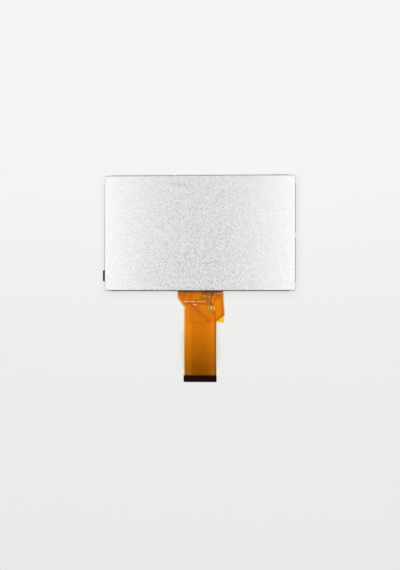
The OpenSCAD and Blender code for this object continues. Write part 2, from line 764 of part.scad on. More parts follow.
module color_filter_glass()
    color([0.10, 0.10, 0.12])
    block(-glass_half_w, filter_y0, filter_glass_z,
          glass_half_w, glass_half_h, filter_glass_z + glass_t);

module front_polarizer()
    color([0.08, 0.08, 0.10])
    translate([0, 0, front_polarizer_z])
        linear_extrude(polarizer_t) cell_area(polarizer_half_w, polarizer_half_h);

// Plan of the film's ear and of the tab on it, from x1 out past the shield
module tab_plan(x1)
    translate([0, edge_y + tab_rise]) rounded(-half_w - tab_out, -tab_w / 2, x1, tab_w / 2, tab_r);

module protective_film()
    color([0.85, 0.90, 0.93, 0.35])
    linear_extrude(film_t) {
        cell_area(polarizer_half_w, polarizer_half_h);
        tab_plan(-polarizer_half_w + tab_r + tab_gap);
    }

// Pull tab, stuck to the inner side of the film's ear
module film_pull_tab()
    color([0.12, 0.34, 0.28])
    translate([0, 0, film_t]) linear_extrude(tab_t) tab_plan(-polarizer_half_w - tab_gap);

module driver_chip(x, l)
    color([0.20, 0.20, 0.22])
    block(x - l / 2, chip_y - chip_w / 2, array_glass_z - chip_t,
          x + l / 2, chip_y + chip_w / 2, array_glass_z);

// Shading tape from the front polarizer's edge to the frame's rim
module driver_cover_tape()
    color([0.10, 0.10, 0.10])
    block(-pocket_half_w - rim_wall / 2, -pocket_half_h - rim_wall / 2, filter_glass_z - cover_tape_t,
          pocket_half_w + rim_wall / 2, cell_y - polarizer_half_h - cover_tape_gap, filter_glass_z);

// ---------------------------------------------------------------- flex circuit

// Section of a layer of the flex circuit, between two heights over the film's underside
module flex_layer(lo, hi) {
    area(rise_y, flex_z + lo, flex_y1, flex_z + hi);
    s_curve([rise_y, flex_z], [crest_y, crest_z], lo, hi, hollow_share);
    s_curve([crest_y, crest_z], [fall_y, end_z], lo, hi, 1 - hollow_share);
    area(flex_y0, end_z + lo, fall_y, end_z + hi);
}

// Cuts a layer of the flex circuit to a plan
module flex_cut(lo, hi)
    intersection() {
        along_x(head_x0, head_x1 + head_flare) flex_layer(lo, hi);
        translate([0, 0, -cut]) linear_extrude(crest_z + 3 * cut) children();
    }

// Plan of the film: a wide head with a slant at each side, and the tail
module flex_plan()
    polygon([[head_x0, flex_y1], [head_x0, edge_y - head_drop_l],
             [tail_taper - tail_half_w, edge_y - slant_drop_l],
             [-tail_half_w, rise_y], [-tail_half_w, flex_y0 + tail_chamfer],
             [-tail_half_w + tail_chamfer, flex_y0], [tail_half_w - tail_chamfer, flex_y0],
             [tail_half_w, flex_y0 + tail_chamfer],
             [tail_half_w, edge_y - slant_drop_r], [head_x1 + head_flare, edge_y - head_drop_r],
             [head_x1, edge_y], [head_x1, flex_y1]]);

module flex_circuit() color([0.80, 0.45, 0.05]) flex_cut(0, flex_t) flex_plan();

function way_x(i) = (i - (contact_ways - 1) / 2) * contact_pitch;

// Plan of one signal line: down from the bond, along its slant and down the tail. The first line's
// slant runs beside the film's own, and the others turn to the last one's 45 degrees
module signal_line(i) {
    share = i / (line_ways - 1);
    steepness = (slant_drop_l - head_drop_l) / (tail_taper - tail_half_w - head_x0) * (1 - share) + share;
    x0 = bundle_x0 + i * bundle_pitch;
    x1 = way_x(i);
    y0 = edge_y - head_drop_l - share * last_slant_drop;
    y1 = y0 - (x1 - x0) * steepness;
    top = -glass_half_h - line_end;
    bottom = flex_y0 + stiffener_l + line_end;
    f = fine_line_w / 2;
    w = line_w / 2;
    polygon([[x0 - f, top], [x0 - f, y0], [x1 - f, y1], [x1 - w, y1 - line_widen], [x1 - w, bottom],
             [x1 + w, bottom], [x1 + w, y1 - line_widen], [x1 + f, y1], [x0 + f, y0], [x0 + f, top]]);
}

// Plan of a feed of the light strip, from below its solder joint down the tail
module feed_line(x0, way) {
    x1 = (way_x(way) + way_x(way + 1)) / 2;
    w = (contact_pitch + line_w) / 2;
    top = edge_y - lead_reach - line_end;
    bottom = flex_y0 + stiffener_l + line_end;
    polygon([[x0 - w, top], [x0 - w, top - 1], [x1 - w, top - 1 - feed_jog], [x1 - w, bottom],
             [x1 + w, bottom], [x1 + w, top - 1 - feed_jog], [x0 + w, top - 1], [x0 + w, top]]);
}

// Copper lines, as the ridges that they raise in the cover film
module flex_conductors()
    color([0.62, 0.32, 0.06])
    flex_cut(flex_t, flex_t + line_t) {
        for (i = [0:line_ways - 1]) signal_line(i);
        feed_line(joint_x, line_ways);
        feed_line(joint_x + joint_pitch, line_ways + 2);
    }

module contact_fingers()
    color([0.90, 0.72, 0.30])
    for (i = [0:contact_ways - 1])
        block(way_x(i) - finger_w / 2, flex_y0 + finger_setback, end_z - finger_t,
              way_x(i) + finger_w / 2, flex_y0 + finger_setback + finger_l, end_z);

module contact_stiffener()
    color([0.12, 0.05, 0.03])
    translate([0, 0, end_z + flex_t])
        linear_extrude(stiffener_t)
            intersection() {
                flex_plan();
                area(-tail_half_w, flex_y0, tail_half_w, flex_y0 + stiffener_l);
            }

// Tape under the head, tented over the components
module component_tape() {
    z1 = flex_z;
    z0 = flex_z - cap_h;
    y1 = edge_y - tape_top_drop;
    y0 = edge_y - tape_drop;
    tent_y1 = edge_y - cap_drop + tent_margin;
    tent_y0 = edge_y - res_drop - tent_margin;
    color([0.95, 0.75, 0.10])
    along_x(tape_x0, tape_x1)
        polygon([[y1, z1], [tent_y1, z1], [tent_y1 - tent_slope, z0], [tent_y0 + tent_slope, z0],
                 [tent_y0, z1], [y0, z1], [y0, z1 - tape_t],
                 [tent_y0, z1 - tape_t], [tent_y0 + tent_slope, z0 - tape_t],
                 [tent_y1 - tent_slope, z0 - tape_t], [tent_y1, z1 - tape_t], [y1, z1 - tape_t]]);
}

// A chip component under the head: a body with a metal cap at each end
module chip(x, drop, l, w, h) {
    end_l = l / 5;
    translate([x, edge_y - drop, flex_z - h]) {
        translate([-l / 2 + chip_lip, -w / 2 + chip_lip, chip_lip])
            cube([l - 2 * chip_lip, w - 2 * chip_lip, h - 2 * chip_lip]);
        for (s = [0, 1]) mirror([s, 0, 0]) translate([l / 2 - end_l, -w / 2, 0]) cube([end_l, w, h]);
    }
}

module chip_capacitors()
    color([0.72, 0.58, 0.42])
    for (k = [0:cap_count - 1]) chip(cap_x + chip_pitch * k, cap_drop, cap_l, cap_w, cap_h);

module chip_resistors()
    color([0.15, 0.15, 0.16])
    for (k = [0:res_count - 1]) chip(res_x + chip_pitch * k, res_drop, res_l, res_w, res_h);

// ---------------------------------------------------------------- nodes

rear_shield();
mold_frame();
reflector_sheet();
light_guide();
lower_diffuser();
lower_prism_sheet();
upper_prism_sheet();
upper_diffuser();
led_strip();
panel_tape();
rear_polarizer();
array_glass();
cell_seal();
color_filter_glass();
front_polarizer();
protective_film();
film_pull_tab();
driver_chip(-glass_half_w + source_chip_inset, source_chip_l);  // source_driver_1
driver_chip(glass_half_w - source_chip_inset, source_chip_l);  // source_driver_2
driver_chip(-glass_half_w + gate_chip_inset, gate_chip_l);  // gate_driver
driver_cover_tape();
flex_circuit();
flex_conductors();
contact_fingers();
contact_stiffener();
component_tape();
chip_capacitors();
chip_resistors();
solder_joints();
for (i = [1:led_count])
    led(i);
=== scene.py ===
"""Looks of a flat display module that lies screen down: finishes for every CAD node, printed bars,
pads and solder on the flex circuit, and a plain pale studio.

Settings and meshes are in metres. Finishes and the tables of places are in millimetres from the
module's frame. A place on the flex circuit is (x, drop), with its distance below the module's edge."""

import math

import bpy
from mathutils import Matrix, Vector


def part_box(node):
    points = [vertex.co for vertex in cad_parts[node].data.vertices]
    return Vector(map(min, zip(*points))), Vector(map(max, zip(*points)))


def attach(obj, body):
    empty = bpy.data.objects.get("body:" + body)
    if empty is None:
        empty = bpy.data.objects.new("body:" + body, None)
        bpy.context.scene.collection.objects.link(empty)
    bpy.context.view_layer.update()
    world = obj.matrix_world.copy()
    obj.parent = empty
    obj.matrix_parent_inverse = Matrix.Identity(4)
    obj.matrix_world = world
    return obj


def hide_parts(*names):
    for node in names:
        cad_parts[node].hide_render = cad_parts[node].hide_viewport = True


bl_info = {
    "name": "Display Module Looks",
    "version": (1, 0, 0),
    "blender": (4, 5, 0),
    "location": "View3D > Sidebar > Display Module",
    "description": "Finishes, printed marks, solder and studio for a flat display module",
    "category": "Object",
}

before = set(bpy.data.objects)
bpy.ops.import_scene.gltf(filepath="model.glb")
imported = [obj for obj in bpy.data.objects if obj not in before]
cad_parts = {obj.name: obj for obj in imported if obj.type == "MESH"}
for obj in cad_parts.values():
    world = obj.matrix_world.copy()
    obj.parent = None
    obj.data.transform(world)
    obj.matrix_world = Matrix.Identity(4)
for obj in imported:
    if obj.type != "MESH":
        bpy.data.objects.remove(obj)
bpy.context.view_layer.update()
MM = 0.001
SHIELD_LOW, SHIELD_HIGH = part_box("rear_shield")
FLEX_LOW, FLEX_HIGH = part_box("flex_circuit")
TAIL_LOW, TAIL_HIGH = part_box("contact_stiffener")
JOINT_LOW, JOINT_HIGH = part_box("solder_joints")
SCREEN_LOW, SCREEN_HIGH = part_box("front_polarizer")
EDGE_Y = SHIELD_LOW.y                       # the module's edge over the flex circuit
FILM_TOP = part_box("array_glass")[0].z       # upper face of the flex circuit's head
LINE_T = 0.03 * MM                          # height of the copper ridges over that face
SOLDER_PITCH = 2.5 * MM                     # between the three joints of the lead

# Places on the flex circuit, in millimetres
HEAD_LEFT, HEAD_RIGHT = FLEX_LOW.x / MM, FLEX_HIGH.x / MM
TAIL_LEFT, TAIL_RIGHT = TAIL_LOW.x / MM, TAIL_HIGH.x / MM
TAPE_DROP = (EDGE_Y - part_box("component_tape")[0].y) / MM   # where the tape under the head ends
TAIL_DROP = (EDGE_Y - TAIL_HIGH.y) / MM                     # where the stiffener begins


# ---------------------------------------------------------------- settings


class ShieldLooks(bpy.types.PropertyGroup):
    """Colours and grain of the steel shield"""

    steel: bpy.props.FloatVectorProperty(
        name="Steel", description="Colour of the coated sheet", subtype="COLOR",
        default=(0.905, 0.910, 0.913), min=0, max=1)
    grain: bpy.props.FloatProperty(
        name="Grain", description="Size of the coating's fine mottle", unit="LENGTH",
        default=0.52 * MM, min=0.2 * MM, max=10 * MM)
    grain_depth: bpy.props.FloatProperty(
        name="Grain depth", description="How much the grain varies the coating's tone",
        default=1.35, min=0, max=2)
    # Strength of the painted shade on the shield's folds, which stands in for their dark reflections
    fold_shade: bpy.props.FloatProperty(
        name="Fold shade", description="How dull the stretched coating is on the folds",
        subtype="FACTOR", default=0.60, min=0, max=1)


class FlexLooks(bpy.types.PropertyGroup):
    """Colours of the flex circuit, and sizes of its printed bars, pads and solder"""

    amber: bpy.props.FloatVectorProperty(
        name="Amber", description="Colour of the film over copper", subtype="COLOR",
        default=(0.730, 0.195, 0.006), min=0, max=1)
    bright: bpy.props.FloatVectorProperty(
        name="Bright film", description="Colour of the film where no copper backs it", subtype="COLOR",
        default=(0.835, 0.233, 0.002), min=0, max=1)
    golden: bpy.props.FloatVectorProperty(
        name="Golden", description="Colour of the patches between the fanned lines", subtype="COLOR",
        default=(0.740, 0.225, 0.003), min=0, max=1)
    rust: bpy.props.FloatVectorProperty(
        name="Rust", description="Colour of the crossing bundles of lines", subtype="COLOR",
        default=(0.520, 0.112, 0.010), min=0, max=1)
    brown: bpy.props.FloatVectorProperty(
        name="Brown", description="Colour along the head's right edges", subtype="COLOR",
        default=(0.500, 0.130, 0.009), min=0, max=1)
    # Also the colour of the painted shadow along the lead's right edge
    dark_line: bpy.props.FloatVectorProperty(
        name="Dark line", description="Colour of single wide lines", subtype="COLOR",
        default=(0.360, 0.095, 0.003), min=0, max=1)
    # Painted highlight along the lead's right edge
    lead_highlight: bpy.props.FloatVectorProperty(
        name="Gleam", description="Colour of the lead's bright edge", subtype="COLOR",
        default=(0.760, 0.320, 0.070), min=0, max=1)
    clear_film: bpy.props.FloatVectorProperty(
        name="Clear film", description="Colour of the bare margins", subtype="COLOR",
        default=(1.000, 0.760, 0.360), min=0, max=1)
    ink_bar: bpy.props.FloatProperty(
        name="Ink bar", description="Height of the printed bars", unit="LENGTH",
        default=0.45 * MM, min=0.2 * MM, max=2 * MM)
    pad_w: bpy.props.FloatProperty(
        name="Pad width", description="Width of the gold pads under the solder", unit="LENGTH",
        default=1.25 * MM, min=0.5 * MM, max=2 * MM)
    bead_w: bpy.props.FloatProperty(
        name="Bead width", description="Width of each solder joint", unit="LENGTH",
        default=1.1 * MM, min=0.5 * MM, max=2 * MM)


class StageLooks(bpy.types.PropertyGroup):
    """Floor and camera"""

    floor: bpy.props.FloatVectorProperty(
        name="Floor", description="Colour of the floor", subtype="COLOR",
        default=(0.93, 0.93, 0.922), min=0, max=1)
    # Painted shade that darkens the floor towards -Y
    floor_fall: bpy.props.FloatProperty(
        name="Floor fall", description="How much darker the floor is towards -Y", subtype="FACTOR",
        default=0.06, min=0, max=1)
    floor_glow: bpy.props.FloatVectorProperty(
        name="Floor glow", description="Share and strength of the even tone that eases shadows", size=2,
        default=(0.60, 0.96), min=0, max=1)
    floor_r: bpy.props.FloatProperty(
        name="Floor radius", description="Radius of the flat floor", unit="LENGTH",
        default=1.6, min=0.5, max=5)
    camera_distance: bpy.props.FloatProperty(
        name="Camera distance", description="From the lens to the shield's face", unit="LENGTH",
        default=0.85, min=0.3, max=3)
    camera_tilt: bpy.props.FloatProperty(
        name="Camera tilt", description="Lean of the camera towards +X", subtype="ANGLE",
        default=math.radians(3.2), min=-0.5, max=0.5)
    view_centre: bpy.props.FloatVectorProperty(
        name="View centre", description="Place at the middle of the view", size=2,
        subtype="XYZ_LENGTH", unit="LENGTH", default=(0.23 * MM, -44.75 * MM))
    view_height: bpy.props.FloatProperty(
        name="View height", description="Height of the view at the shield's face", unit="LENGTH",
        default=0.4904, min=0.1, max=2)


# ---------------------------------------------------------------- shader writing


class Wire:
    """A shader socket that is used like a number: an expression on wires adds its Math nodes."""

    def __init__(self, finish, socket):
        self.finish = finish
        self.socket = socket

    def __add__(self, other):
        return self.finish.math("ADD", self, other)

    def __radd__(self, other):
        return self.finish.math("ADD", other, self)

    def __sub__(self, other):
        return self.finish.math("SUBTRACT", self, other)

    def __rsub__(self, other):
        return self.finish.math("SUBTRACT", other, self)

    def __mul__(self, other):
        return self.finish.math("MULTIPLY", self, other)

    def __rmul__(self, other):
        return self.finish.math("MULTIPLY", other, self)

    def __truediv__(self, other):
        return self.finish.math("DIVIDE", self, other)

    def __rtruediv__(self, other):
        return self.finish.math("DIVIDE", other, self)

    def __abs__(self):
        return self.finish.math("ABSOLUTE", self)


class Finish:
    """A material whose nodes are written as expressions, in millimetres from the module's frame."""

    def __init__(self, name, **constants):
        self.material = bpy.data.materials.new(name)
        self.material.use_nodes = True
        self.tree = self.material.node_tree
        self.tree.nodes.clear()
        self.shader = self.tree.nodes.new("ShaderNodeBsdfPrincipled")
        output = self.tree.nodes.new("ShaderNodeOutputMaterial")
        self.tree.links.new(self.shader.outputs[0], output.inputs[0])
        for key, value in constants.items():
            self.set(key.replace("_", " "), value)
        place = self.node("ShaderNodeTexCoord", out="Object")
        self.point = self.node("ShaderNodeVectorMath", {"operation": "SCALE"},
                               {"Vector": place, "Scale": 1 / MM})
        split = self.node("ShaderNodeSeparateXYZ", {}, {0: self.point}).socket.node
        self.x, self.y, self.z = (Wire(self, socket) for socket in split.outputs)
        self.drop = EDGE_Y / MM - self.y           # distance below the module's edge

    def set(self, socket, value):
        """Sets or links a socket of the shader."""
        self._join(value, self.shader.inputs[socket])

    def node(self, kind, settings=(), sockets=(), out=0):
        """Adds any node: its settings first, then its sockets' values or links."""
        made = self.tree.nodes.new(kind)
        for name, value in dict(settings).items():
            if name == "stops":
                self.fill_ramp(made.color_ramp, value)
            else:
                setattr(made, name, value)
        for key, value in dict(sockets).items():
            self._join(value, made.inputs[key])
        return Wire(self, made.outputs[out])

    def math(self, operation, *values):
        """A Math node on wires and numbers."""
        return self.node("ShaderNodeMath", {"operation": operation}, dict(enumerate(values)))

    def _join(self, value, socket):
        if isinstance(value, Wire):
            self.tree.links.new(value.socket, socket)
        elif socket.type == "RGBA" and len(value) == 3:
            socket.default_value = (*value, 1)
        else:
            socket.default_value = value

    @staticmethod
    def fill_ramp(ramp, stops):
        """Gives a colour ramp its stops, each a position and a colour."""
        while len(ramp.elements) > 1:
            ramp.elements.remove(ramp.elements[-1])
        ramp.elements[0].position, ramp.elements[0].color = stops[0][0], (*stops[0][1], 1)
        for position, colour in stops[1:]:
            ramp.elements.new(position).color = (*colour, 1)

    def most(self, first, *others):
        """The greatest of some values."""
        for other in others:
            first = self.math("MAXIMUM", first, other)
        return first

    def least(self, first, *others):
        """The smallest of some values."""
        for other in others:
            first = self.math("MINIMUM", first, other)
        return first

    def reach(self, across, along):
        """The distance of a place from the point where both values are 0."""
        return self.math("SQRT", across * across + along * along)

    def mix(self, share, first, second):
        """Blends two colours."""
        return self.node("ShaderNodeMix", {"data_type": "RGBA"}, {0: share, 6: first, 7: second}, out=2)

    def shade(self, colour, factor):
        """Multiplies a colour by a value."""
        return self.node("ShaderNodeVectorMath", {"operation": "SCALE"},
                         {"Vector": colour, "Scale": factor})

    def paint(self, colour, *layers):
        """Lays tones over a colour in turn, each as strongly as its own mark."""
        for tone, mark in layers:
            colour = self.mix(mark, colour, tone)
        return colour

    def ramp(self, value, stops):
        """Colours along a value from 0 to 1."""
        return self.node("ShaderNodeValToRGB", {"stops": stops}, {"Fac": value})

    def step(self, value, at, soft):
        """0 below a limit and 1 above it, smoothly over a width."""
        return self.node("ShaderNodeMapRange", {"interpolation_type": "SMOOTHSTEP"},
                         {"Value": value, "From Min": at - soft / 2, "From Max": at + soft / 2})

    def below(self, value, at, soft):
        """1 below a limit and 0 above it, smoothly over a width."""
        return 1 - self.step(value, at, soft)

    def band(self, value, low, high, soft):
        """1 between two limits and 0 outside them."""
        return self.step(value, low, soft) * self.below(value, high, soft)

    def spot(self, centre, radii, soft=0.6):
        """1 in an ellipse about a place and 0 outside, over a soft rim."""
        across = (self.x - centre[0]) / radii[0]
        along = (self.drop - centre[1]) / radii[1]
        return self.below(across * across + along * along, 1.0, 2 * soft)

    def stroke(self, start, end, width, soft):
        """1 on a straight line between two places and 0 beside it."""
        run = math.dist(start, end)
        turn = ((end[0] - start[0]) / run, (end[1] - start[1]) / run)
        right, down = self.x - start[0], self.drop - start[1]
        along = self.least(self.most(right * turn[0] + down * turn[1], 0.0), run)
        return self.below(self.reach(right - along * turn[0], down - along * turn[1]), width / 2, soft)

    def noise(self, size, detail=2.0, stretch=(1, 1, 1)):
        """Noise about 0.5 whose features are about a size across."""
        scaled = self.node("ShaderNodeVectorMath", {"operation": "MULTIPLY"},
                           {0: self.point, 1: tuple(share / size for share in stretch)})
        return self.node("ShaderNodeTexNoise", {}, {"Vector": scaled, "Scale": 1.0, "Detail": detail})

    def cells(self, size, out="Distance"):
        """Voronoi cells about a size across: the distance to a cell's point, or its random colour."""
        scaled = self.node("ShaderNodeVectorMath", {"operation": "SCALE"},
                           {"Vector": self.point, "Scale": 1 / size})
        return self.node("ShaderNodeTexVoronoi", {}, {"Vector": scaled, "Scale": 1.0}, out=out)

    def bump(self, height, depth):
        """Raises the surface by a wire times a depth in millimetres."""
        self.set("Normal", self.node("ShaderNodeBump", {},
                                     {"Strength": 1.0, "Distance": depth * MM, "Height": height}))


def dress(finish, *names):
    """Gives CAD nodes a finish."""
    for name in names:
        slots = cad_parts[name].data.materials
        slots.clear()
        slots.append(finish.material)


def grained(name, tones, size, rough, depth=0.0, detail=2.0, stretch=(1, 1, 1), **constants):
    """A plain finish: one noise blends two tones, varies the gloss between a low value and a range
    above it, and raises the surface by a depth."""
    f = Finish(name, **constants)
    grain = f.noise(size, detail, stretch)
    f.set("Base Color", f.mix(grain, *tones))
    f.set("Roughness", rough[0] + grain * rough[1])
    if depth:
        f.bump(grain, depth)
    return f


# ---------------------------------------------------------------- finishes of the housing


# The coating's grain: shares of fine speckle and coarse blotches, and the place, softness and share
# with which it fades to both sides of its middle and to the back
SPECKLE, BLOTCH, GRAIN_MIDDLE = 0.80, 0.10, -4.0
SIDE_FADE, SIDE_SHARE = (42.0, 64.0), 0.70
BACK_FADE, BACK_SHARE = (5.0, 80.0), 0.30

# Bands of painted shade along the shield's edges, in place of the dark reflections of its folds: reach
# inwards and softness, then the painted shade of a side
FOLD_BAND, WALL_BAND = (0.80, 0.7), (0.45, 0.4)
FRONT_BAND, FRONT_PAINTED_SHADE = (1.1, 0.7), 0.32
BACK_BAND, BACK_PAINTED_SHADE = (0.9, 0.7), 0.15
LEFT_BAND, LEFT_PAINTED_SHADE = (0.5, 0.5), 0.45
LEFT_END = (20.0, 60.0)                     # place and softness at which the left side's band ends
LEFT_OFFSET = 0.25                          # how much less the fold band reaches in at the left
RIM_H = 0.9                                 # how far down the walls the bands reach
MOST_PAINTED_SHADE = 0.94                            # limit of their sum

# The faint stain in the coating near the back: where its middle lies, its radii and its share
STAIN_X, STAIN_Y, STAIN_RADII, STAIN_SHADE = -18.5, 42.0, (6.5, 1.8), 0.14


def coated_steel(looks):
    """Coated sheet with a dense fine grain, strongest at the middle, and painted shade on its folds,
    heaviest at the front and the lower left.
    """
    f = Finish("coated_steel")
    low, high = SHIELD_LOW / MM, SHIELD_HIGH / MM
    size = looks.grain / MM
    mottle = (f.cells(size, out="Color") - 0.5) * SPECKLE + (f.noise(size * 4) - 0.5) * BLOTCH
    middle = 1 - f.step(abs(f.x - GRAIN_MIDDLE), *SIDE_FADE) * SIDE_SHARE
    forward = 1 - f.step(f.y, *BACK_FADE) * BACK_SHARE
    left, right = f.x - low.x, high.x - f.x
    front, back = f.y - low.y, high.y - f.y
    inward = f.least(left + LEFT_OFFSET, right, f.least(front, back))
    rim = f.step(f.z, high.z - RIM_H, RIM_H)
    fold = f.below(inward, *FOLD_BAND) * rim
    front_fold = f.below(front, *FRONT_BAND) * (0.4 + rim * 0.6)
    back_fold = f.below(back, *BACK_BAND) * rim
    left_fold = f.below(left, *LEFT_BAND) * f.below(f.y, *LEFT_END) * rim
    # dull is painted shade along the folds and edges, heaviest at the front and the lower left
    dull = f.least(fold * looks.fold_shade + front_fold * FRONT_PAINTED_SHADE + left_fold * LEFT_PAINTED_SHADE
                   + back_fold * BACK_PAINTED_SHADE, MOST_PAINTED_SHADE)
    stain = f.spot((STAIN_X, low.y - STAIN_Y), STAIN_RADII, 0.5) * f.step(f.noise(1.4), 0.46, 0.2)
    calm = 1 - f.most(fold, f.below(inward, *WALL_BAND)) * 0.8
    grain = mottle * middle * forward * calm * looks.grain_depth
    f.set("Base Color", f.shade(looks.steel, 0.990 + grain - dull - stain * STAIN_SHADE))
    f.set("Metallic", 1 - fold * 0.8)
    f.set("Roughness", 0.29 + mottle * 0.03 + fold * 0.1)
    f.bump(mottle, 0.004)
    return f


def white_moulding():
    """Satin white plastic with a faint orange peel."""
    f = Finish("white_moulding")
    peel = f.noise(0.9)
    f.set("Base Color", f.mix(f.noise(14), (0.80, 0.80, 0.775), (0.85, 0.85, 0.83)))
    f.set("Roughness", 0.42 + (peel - 0.5) * 0.14)
    f.bump(peel, 0.006)
    return f


# ---------------------------------------------------------------- finishes of the cell


ACTIVE_HALF = (77.04, 42.96)                # half the active area's width and height


def dark_screen():
    """Glossy polarizer: the active area shows a shade lighter than the black border round it."""
    f = Finish("dark_screen", IOR=1.49, Coat_Weight=0.0)
    centre = (SCREEN_LOW + SCREEN_HIGH) / (2 * MM)
    half_w, half_h = ACTIVE_HALF
    inside = f.band(f.x - centre.x, -half_w, half_w, 0.1) * f.band(f.y - centre.y, -half_h, half_h, 0.1)
    f.set("Base Color", f.mix(inside, (0.006, 0.006, 0.007), (0.014, 0.016, 0.021)))
    f.set("Roughness", 0.10 + f.noise(40) * 0.05)
    f.bump(f.noise(6), 0.002)
    return f


def clear_film():
    """Clear protective film with shallow waves and a few specks."""
    f = Finish("clear_film", IOR=1.5)
    waves = f.noise(18, detail=1)
    specks = f.below(f.cells(7.5), 0.035, 0.02)
    f.set("Base Color", (0.80, 0.86, 0.90))
    f.set("Roughness", 0.08 + waves * 0.06)
    f.set("Alpha", 0.10 + specks * 0.5)
    f.bump(waves, 0.05)
    return f


def green_tab():
    """Dark green film tab with a pale strip where it leaves the module."""
    f = Finish("green_tab", Specular_IOR_Level=0.15)
    fibre = f.noise(0.8, stretch=(1, 0.2, 1))
    green = f.mix(fibre, (0.012, 0.064, 0.050), (0.018, 0.080, 0.063))
    root = f.step(f.x, SHIELD_LOW.x / MM - 0.6, 0.3)
    f.set("Base Color", f.mix(root * 0.8, green, (0.40, 0.50, 0.47)))
    f.set("Roughness", 0.30 + fibre * 0.1)
    return f


def cell_glass(name, deep, pale):
    """Thin glass: dark inside, paler at its ground edges."""
    f = Finish(name, IOR=1.52)
    low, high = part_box("array_glass")
    outward = f.most(abs(f.x) - high.x / MM, f.most(f.y - high.y / MM, low.y / MM - f.y))
    ground = f.step(outward, -0.08, 0.1)
    f.set("Base Color", f.mix(ground, deep, pale))
    f.set("Roughness", 0.05 + ground * 0.3 + f.noise(8) * 0.02)
    return f


def black_tape():
    """Matt black tape with a fine weave of pores."""
    return grained("black_tape", ((0.010, 0.010, 0.011), (0.022, 0.022, 0.023)), 0.35, (0.55, 0.15),
                   depth=0.01, detail=3)


def grey_polarizer():
    """Grey polarizer film with a broad haze."""
    return grained("grey_polarizer", ((0.05, 0.05, 0.06), (0.065, 0.065, 0.075)), 30, (0.15, 0.05),
                   IOR=1.49)


def cured_seal():
    """Gritty sealant between the glasses."""
    return grained("cured_seal", ((0.30, 0.28, 0.22), (0.40, 0.37, 0.30)), 0.3, (0.5, 0.1))


def polished_silicon():
    """Bare driver chip with faint lapping lines."""
    return grained("polished_silicon", ((0.085, 0.085, 0.10), (0.12, 0.12, 0.14)), 0.25, (0.2, 0.1),
                   stretch=(1, 6, 1), IOR=2.2)


# ---------------------------------------------------------------- finishes of the backlight


def white_reflector():
    """White reflective film with faint flecks."""
    return grained("white_reflector", ((0.84, 0.84, 0.83), (0.90, 0.90, 0.89)), 0.5, (0.35, 0.1))


DOT_PITCH = 1.2                             # of the light guide's printed dots


def printed_guide():
    """Clear acrylic with white dots that grow away from the diodes."""
    f = Finish("printed_guide", IOR=1.49, Transmission_Weight=0.35)
    low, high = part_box("light_guide")
    column = f.math("PINGPONG", f.x, DOT_PITCH / 2) - DOT_PITCH / 4
    row = f.math("PINGPONG", f.y, DOT_PITCH / 2) - DOT_PITCH / 4
    far = (f.y - low.y / MM) / ((high.y - low.y) / MM)
    dots = f.below(f.reach(column, row), 0.10 + far * 0.14, 0.05)
    printed = dots * f.step(f.z, high.z / MM - 0.05, 0.04)
    f.set("Base Color", f.mix(printed, (0.80, 0.86, 0.87), (0.93, 0.93, 0.92)))
    f.set("Roughness", 0.06 + printed * 0.4)
    return f


def milky_film():
    """White diffuser film with a fine mist."""
    return grained("milky_film", ((0.80, 0.81, 0.80), (0.86, 0.87, 0.86)), 0.2, (0.40, 0.1), detail=3)


PRISM_HALF = 0.05                           # half the pitch of a prism film's prisms


def prism_film():
    """Clear film whose fine prisms run along the module."""
    f = Finish("prism_film")
    prisms = f.math("PINGPONG", f.y, PRISM_HALF) / PRISM_HALF
    f.set("Base Color", f.mix(prisms, (0.72, 0.77, 0.82), (0.80, 0.84, 0.88)))
    f.set("Roughness", 0.18 + f.noise(5) * 0.08)
    f.bump(prisms, 0.02)
    return f


def diode_housing():
    """White diode housing with yellow phosphor in its lit face."""
    f = Finish("diode_housing")
    low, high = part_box("led_1")
    lit = f.step(f.y, high.y / MM - 0.17, 0.02) * f.below(f.y, high.y / MM - 0.02, 0.02)
    height = (f.z - (low.z + high.z) / (2 * MM)) / ((high.z - low.z) / (2 * MM))
    phosphor = lit * f.below(abs(height), 0.72, 0.1)
    grit = f.noise(0.2)
    body = f.mix(grit, (0.80, 0.79, 0.74), (0.86, 0.85, 0.80))
    f.set("Base Color", f.mix(phosphor, body, (0.86, 0.66, 0.09)))
    f.set("Roughness", 0.35 + grit * 0.1)
    return f


# ---------------------------------------------------------------- finishes of the flex circuit


# Lanes across the tail: place and colour of the film over them
LANES = ((-14.2, (0.95, 0.54, 0.130)), (-12.7, (0.86, 0.30, 0.008)), (-11.7, (0.82, 0.242, 0.004)),
         (-10.0, (0.91, 0.262, 0.006)), (-7.4, (0.81, 0.238, 0.002)), (-6.5, (0.71, 0.196, 0.002)),
         (4.5, (0.72, 0.200, 0.003)), (10.0, (0.82, 0.236, 0.003)), (11.7, (0.86, 0.252, 0.010)),
         (12.2, (0.84, 0.245, 0.010)), (12.6, (0.52, 0.148, 0.009)), (14.2, (0.40, 0.125, 0.013)))
# Painted shade of the tail's downward bend: where it begins, then its strength per millimetre and how much
# less it is at the sides
BEND_DROP = 33.0                            # where the tail begins to darken towards its end
BEND_SHADE, SIDE_SHADE = 0.0156, 0.0045     # darkening per millimetre, and how much less at the sides

# The head's fanned lines: lean to the right with the drop, width and contrast
FAN_LEAN, FAN_WIDTH, FAN_CONTRAST = 0.4, 0.8, 2.2
RED_FILM = (0.780, 0.165, 0.010)            # the reddish patch below the fanned lines
SLANT_GLOW = (0.800, 0.320, 0.018)          # film beside the left slant's bare margin
SLANT_DROPS = (6.4, 14.8)                   # where the left slant begins and ends
FLARE = (HEAD_RIGHT - 19.9) / 20.4          # lean of the head's right edge, across per drop

# Painted shadow and painted highlight along the lead's right edge, which cross from it to the film:
# setting, width and corners
LEAD_LINES = (("dark_line", 0.9, ((12.0, 1.0), (11.0, 4.2), (9.3, 6.9), (9.4, 11.2))),
              ("lead_highlight", 0.8, ((13.0, 1.6), (12.6, 4.2), (11.2, 6.4), (10.2, 8.4))))

